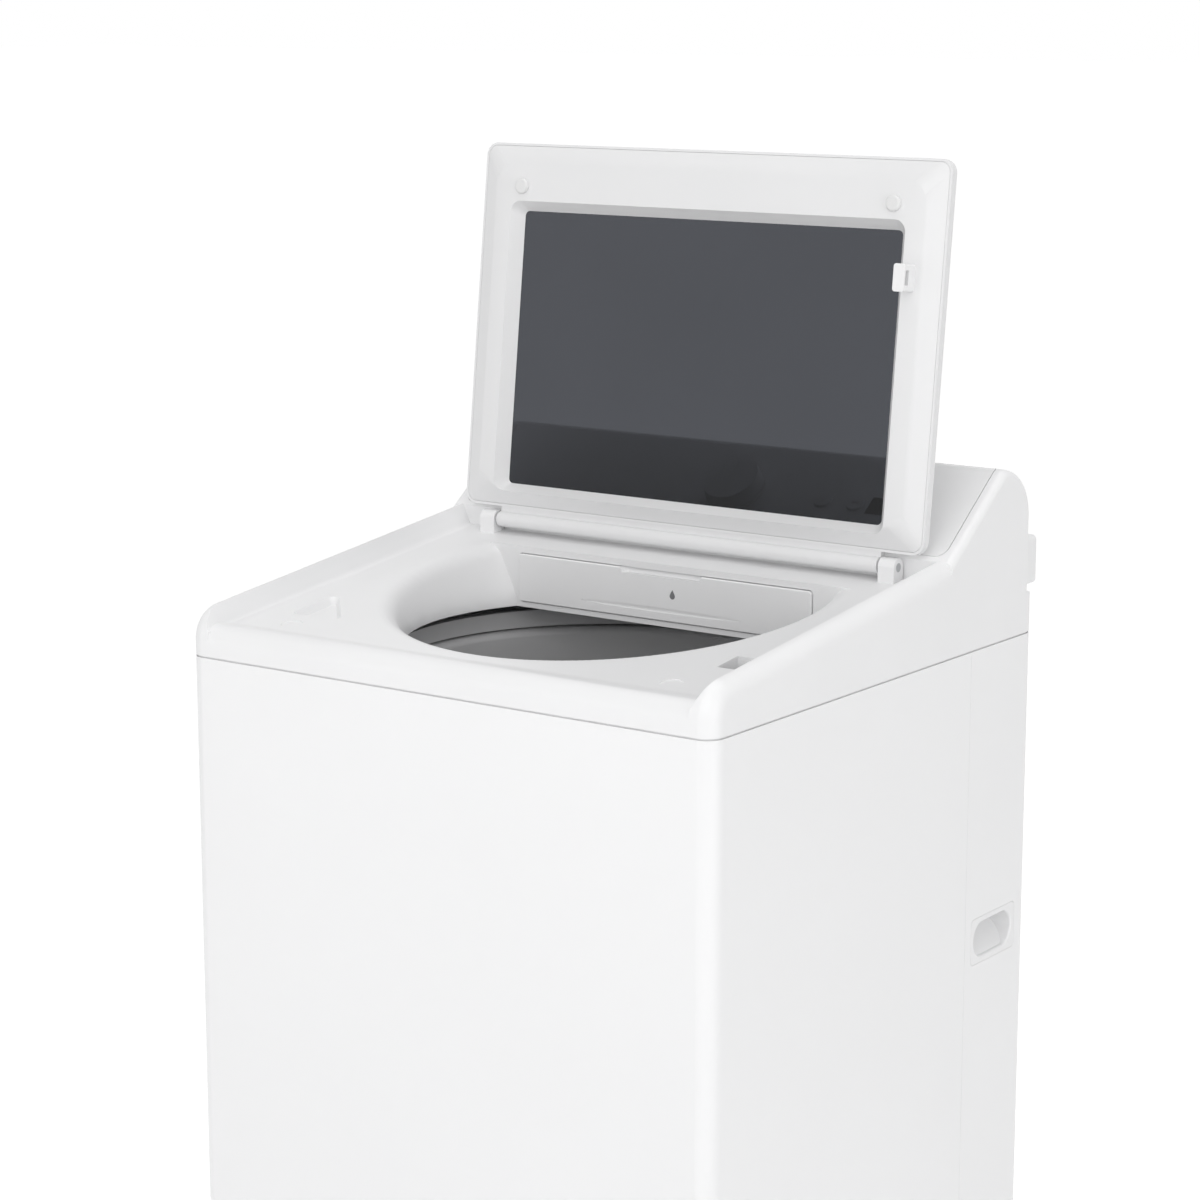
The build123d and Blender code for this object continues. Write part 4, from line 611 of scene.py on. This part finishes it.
def screw_head(mesh):
    """A domed round head on the XY plane with a cross recess."""
    bmesh.ops.create_grid(mesh, x_segments=5, y_segments=5, size=screw_radius)
    for vert in mesh.verts:
        flat = vert.co.xy
        if flat.length > 0.0:
            flat = flat * max(abs(flat.x), abs(flat.y)) / flat.length
        share = flat.length / screw_radius
        vert.co = (flat.x, flat.y, screw_height - dome_share * screw_height * share ** 3)
    skirt = bmesh.ops.extrude_edge_only(mesh, edges=[edge for edge in mesh.edges if edge.is_boundary])
    for vert in verts_of(skirt["geom"]):
        vert.co.z = 0.0
    cross = []
    for face in mesh.faces:
        middle = face.calc_center_median().xy
        if min(abs(middle.x), abs(middle.y)) < 0.1 * screw_radius and middle.length < recess_reach:
            cross.append(face)
    pressed = bmesh.ops.extrude_face_region(mesh, geom=cross)
    bmesh.ops.delete(mesh, geom=cross, context="FACES_ONLY")
    for vert in verts_of(pressed["geom"]):
        vert.co = (recess_taper * vert.co.x, recess_taper * vert.co.y, vert.co.z - recess_depth)


screws = bmesh.new()
for column in range(screw_columns):
    for row in range(screw_rows):
        across = column / (screw_columns - 1)
        up = row / (screw_rows - 1)
        head = bmesh.new()
        screw_head(head)
        screw_place = (
            screw_low.x + screw_radius + across * (screw_high.x - screw_low.x - 2 * screw_radius),
            screw_low.y,
            screw_low.z + screw_radius + up * (screw_high.z - screw_low.z - 2 * screw_radius),
        )
        put(head, screw_place, (0, 1, 0))
        merge_into(screws, head)
add_piece("panel_screws", screws, "machine", zinc_steel, ["rear_panel_screws"])

# %% [markdown]
# ## Water connections
#
# The two inlets take hose couplings, so their spigots carry a coarse thread and a coloured collar: red for
# hot and blue for cold. The drain outlet has barbs that grip its hose. Threads are wedges swept along a
# helix, collars and barbs are turned rings, all made upright and then laid over to face the back.

# %% Water connections
hot_red = moulded("hot_red", (0.42, 0.03, 0.025), (0.48, 0.04, 0.03), 0.4)
cold_blue = moulded("cold_blue", (0.02, 0.07, 0.36), (0.03, 0.09, 0.42), 0.4)
hose_pitch = 0.0022
hose_depth = 0.0011
hose_seat = 0.0002
hose_start = 0.004
hose_turns = 4.5
collar_gap = 0.0001
collar_base = 0.0002
collar_top = 0.0030
collar_rise = 0.0024
collar_chamfer = 0.0006
collar_foot = 0.0004
barb_rise = 0.0012
barb_length = 0.0040
barb_seat = 0.0002
barb_undercut = 0.0005
connections = {mount["name"]: mount for mount in frame["record"]["mounts"]}
for name, finish in (("hot_inlet", hot_red), ("cold_inlet", cold_blue)):
    mount = connections[name]
    radius = mount["dims"]["r_mm"] / 1000
    length = mount["dims"]["length_mm"] / 1000
    root = Vector(mount["pos_m"]) - Vector(mount["axis"]) * length / 2
    thread = bmesh.new()
    thread_on(
        thread, radius + hose_depth, hose_depth + hose_seat, hose_pitch, hose_start, hose_turns, 32
    )
    put(thread, root, mount["axis"])
    add_piece(name + "_thread", thread, "machine", white_plastic)
    collar = bmesh.new()
    lathe(
        collar,
        [
            (radius + collar_gap, collar_base),
            (radius + collar_rise - collar_foot, collar_base),
            (radius + collar_rise, collar_base + collar_chamfer),
            (radius + collar_rise, collar_top - collar_chamfer),
            (radius + collar_rise - collar_chamfer, collar_top),
            (radius + collar_gap, collar_top),
            (radius + collar_gap, collar_base),
        ],
        48,
    )
    put(collar, root, mount["axis"])
    add_piece(name + "_collar", collar, "machine", finish)

spigot = connections["drain_spigot"]
spigot_radius = spigot["dims"]["r_mm"] / 1000
spigot_length = spigot["dims"]["length_mm"] / 1000
spigot_root = Vector(spigot["pos_m"]) - Vector(spigot["axis"]) * spigot_length / 2
barbs = bmesh.new()
for share in (0.45, 0.65, 0.85):
    barb = bmesh.new()
    lathe(
        barb,
        [
            (spigot_radius - barb_seat, -barb_undercut), (spigot_radius + barb_rise, 0.0),
            (spigot_radius - barb_seat, barb_length), (spigot_radius - barb_seat, -barb_undercut),
        ],
        48,
    )
    put(barb, (0, 0, share * spigot_length))
    merge_into(barbs, barb)
put(barbs, spigot_root, spigot["axis"])
add_piece("drain_barbs", barbs, "machine", finishes[
    next(row["material_slot"] for row in frame["record"]["subparts"] if row["node"] == "drain_outlet")
])

# %% [markdown]
# ## Printed marks
#
# The panel carries a ring of short ticks round the dial, a power mark and a start mark on the keys, and the
# drawer a small drop. On the real machine these are pad printed, a film of ink. Each is a flat shape from
# the circle, grid and spin operators, given a tenth of a millimetre, so it stays crisp when seen close. A
# painted texture would need a picture file.

# %% Printed marks
ink_depth = 0.0001
print_grey = moulded("print_grey", (0.16, 0.16, 0.17), (0.20, 0.20, 0.21), 0.5)
dial_joint = next(joint for joint in frame["joints"] if joint["name"] == "dial_turn")
panel_normal = Vector(dial_joint["axis"])
dial_middle = Vector(dial_joint["pos_m"])
dial_low, dial_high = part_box("cycle_dial")
dial_radius = (dial_high.x - dial_low.x) / 2


def ink(mesh):
    """Give flat faces the depth of a printed film."""
    grown = bmesh.ops.extrude_face_region(mesh, geom=mesh.faces[:], use_keep_orig=True)
    bmesh.ops.translate(mesh, verts=verts_of(grown["geom"]), vec=(0, 0, ink_depth))


def bar(mesh, middle, width, height, turned=0.0):
    """A flat bar on the XY plane, turned about the origin after it is placed."""
    shape = Matrix.Rotation(turned, 4, "Z") @ Matrix.Translation((*middle, 0))
    bmesh.ops.create_grid(
        mesh, x_segments=1, y_segments=1, size=0.5, matrix=shape @ Matrix.Diagonal((width, height, 1, 1))
    )


def highest(node):
    """How far a solid reaches along the panel's normal, from the panel's face at the dial."""
    return max((vert.co - dial_middle).dot(panel_normal) for vert in nodes[node].data.vertices)


tick_count = 20
tick_radius = dial_radius + 0.006
tick_long = 0.004
tick_short = 0.0025
stroke = 0.0008
ticks = bmesh.new()
for k in range(tick_count):
    length = tick_long if k % 5 == 0 else tick_short
    bar(ticks, (0, tick_radius + length / 2), stroke, length, math.tau * k / tick_count)
ink(ticks)
put(ticks, dial_middle, panel_normal)
add_piece("dial_ticks", ticks, "machine", print_grey)

power_mark = bmesh.new()
mark_radius = 0.0042
gap_angle = math.radians(80)
arc_start = [
    Matrix.Rotation(gap_angle / 2, 4, "Z") @ Vector((0, reach, 0))
    for reach in (mark_radius - stroke / 2, mark_radius + stroke / 2)
]
bmesh.ops.spin(
    power_mark, geom=outline(power_mark, arc_start), cent=(0, 0, 0), axis=(0, 0, 1),
    angle=math.tau - gap_angle, steps=36,
)
bar(power_mark, (0, mark_radius * 0.75), stroke, mark_radius)
arrow_radius = 0.0030
arrow_shift = 0.0022
pause_width = 0.0010
pause_height = 0.0050
start_mark = bmesh.new()
bmesh.ops.create_circle(
    start_mark, cap_ends=True, segments=3, radius=arrow_radius,
    matrix=Matrix.Translation((-arrow_shift, 0, 0)) @ Matrix.Rotation(math.radians(-90), 4, "Z"),
)
for across in (arrow_shift, arrow_shift + 2 * pause_width):
    bar(start_mark, (across, 0), pause_width, pause_height)
for key, mark in (("power", power_mark), ("start", start_mark)):
    key_low, key_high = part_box(key + "_button")
    key_middle = dial_middle + Vector(((key_low.x + key_high.x) / 2 - dial_middle.x, 0, 0))
    ink(mark)
    put(mark, key_middle + panel_normal * highest(key + "_button"), panel_normal)
    add_piece(key + "_mark", mark, key + "_key", print_grey)

drop_radius = 0.0036
drop_taper = 0.6
drop_stretch = 0.9
drop_across = 0.017
drop_lift = 0.002
front_low, front_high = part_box("drawer_front")
drop = bmesh.new()
bmesh.ops.create_circle(drop, cap_ends=True, segments=32, radius=drop_radius)
for vert in drop.verts:
    if vert.co.y > 0:
        share = vert.co.y / drop_radius
        vert.co.x *= 1 - share ** 2 * drop_taper
        vert.co.y *= 1 + drop_stretch * share
ink(drop)
bmesh.ops.rotate(drop, verts=drop.verts, cent=(0, 0, 0), matrix=Matrix.Rotation(math.radians(90), 3, "X"))
drop_place = (drop_across, front_low.y, (front_low.z + front_high.z) / 2 + drop_lift)
bmesh.ops.translate(drop, verts=drop.verts, vec=drop_place)
add_piece("drawer_drop", drop, "drawer", print_grey)

# %% [markdown]
# ## Studio
#
# The photograph has a white ground. A wide floor takes the machine's soft shadow, and both floor and sky
# turn white for the rays that the camera, mirrors and glass send out, so the ground is white without more
# light on the machine. Four broad lamps share the work: two light the front from the left and from above,
# one the side, a little less, and one looks down into the wash opening. Fewer and stronger lamps would
# burn out the white corners.

# %% Floor and sky
floor_reach = 60.0
floor_glow = 0.55
sky_light = 0.5

floor_mesh = bmesh.new()
bmesh.ops.create_grid(floor_mesh, x_segments=1, y_segments=1, size=floor_reach)
floor_data = bpy.data.meshes.new("floor")
floor_mesh.to_mesh(floor_data)
floor_mesh.free()
floor = bpy.data.objects.new("floor", floor_data)
bpy.context.scene.collection.objects.link(floor)
floor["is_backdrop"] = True


def seen_directly(tree):
    """1 for rays from the camera, mirrors and glass, 0 for the rays that carry light."""
    path = tree.nodes.new("ShaderNodeLightPath")
    total = path.outputs["Is Camera Ray"]
    for kind in ("Is Glossy Ray", "Is Transmission Ray"):
        either = tree.nodes.new("ShaderNodeMath")
        either.operation = "MAXIMUM"
        tree.links.new(total, either.inputs[0])
        tree.links.new(path.outputs[kind], either.inputs[1])
        total = either.outputs["Value"]
    return total


paper, tree, shader, place = new_finish("floor_paper")
tint(tree, shader, cloudy(tree, place, 2.0), (0.88, 0.88, 0.88), (0.89, 0.89, 0.89))
shader.inputs["Roughness"].default_value = 0.9
shader.inputs["Emission Color"].default_value = (1, 1, 1, 1)
tree.links.new(between(tree, seen_directly(tree), 0.0, floor_glow), shader.inputs["Emission Strength"])
dress(floor, paper)

sky = bpy.data.worlds.new("sky")
bpy.context.scene.world = sky
sky.use_nodes = True
background = sky.node_tree.nodes["Background"]
background.inputs["Color"].default_value = (1, 1, 1, 1)
sky.node_tree.links.new(
    between(sky.node_tree, seen_directly(sky.node_tree), sky_light, 1.0), background.inputs["Strength"]
)
print("floor and sky are ready")

# %% Lamps


def soft_lamp(name, place, aim, size, power):
    """A square area lamp that faces a point."""
    data = bpy.data.lights.new(name, "AREA")
    data.size = size
    data.energy = power
    lamp = bpy.data.objects.new(name, data)
    lamp.location = place
    lamp.rotation_euler = (Vector(aim) - Vector(place)).to_track_quat("-Z", "Y").to_euler()
    bpy.context.scene.collection.objects.link(lamp)


machine_middle = (0.0, 0.0, 0.7)
deck_middle = (0.0, 0.0, 1.0)
soft_lamp("key_lamp", (-1.3, -3.0, 1.0), machine_middle, 2.4, 16.0)
soft_lamp("side_lamp", (4.0, -1.2, 1.4), machine_middle, 2.5, 38.0)
soft_lamp("front_lamp", (1.2, -3.2, 2.8), deck_middle, 3.8, 49.0)
soft_lamp("top_lamp", (0.2, 0.3, 3.8), deck_middle, 2.6, 26.0)

# %% [markdown]
# ## Camera
#
# The place, turn and focal length were fitted to the corners of the cabinet and lid in the photograph. The
# lens has no shift, because views from other sides keep the shift and would slip out of the frame.

# %% Camera
camera_place = Vector((1.9577, -2.7831, 1.6585))
camera_turn = math.radians(35.70)
camera_tilt = math.radians(11.18)
focal_in_frames = 3115.0 / 1200.0

camera_data = bpy.data.cameras.new("camera")
camera_data.sensor_width = 36.0
camera_data.lens = focal_in_frames * camera_data.sensor_width
camera = bpy.data.objects.new("camera", camera_data)
look = Vector((
    -math.sin(camera_turn) * math.cos(camera_tilt),
    math.cos(camera_turn) * math.cos(camera_tilt),
    -math.sin(camera_tilt),
))
camera.location = camera_place
camera.rotation_euler = look.to_track_quat("-Z", "Y").to_euler()
bpy.context.scene.collection.objects.link(camera)
bpy.context.scene.camera = camera
bpy.context.scene.view_settings.view_transform = "Standard"
print("lens", round(camera_data.lens, 1), "mm")

# %% [markdown]
# ## Sizes
#
# The box round all that shows is printed, so that a piece that grew past the real size is easy to notice.

# %% Sizes and finish
low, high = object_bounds()
print("visual size", [round(b - a, 3) for a, b in zip(low, high)])
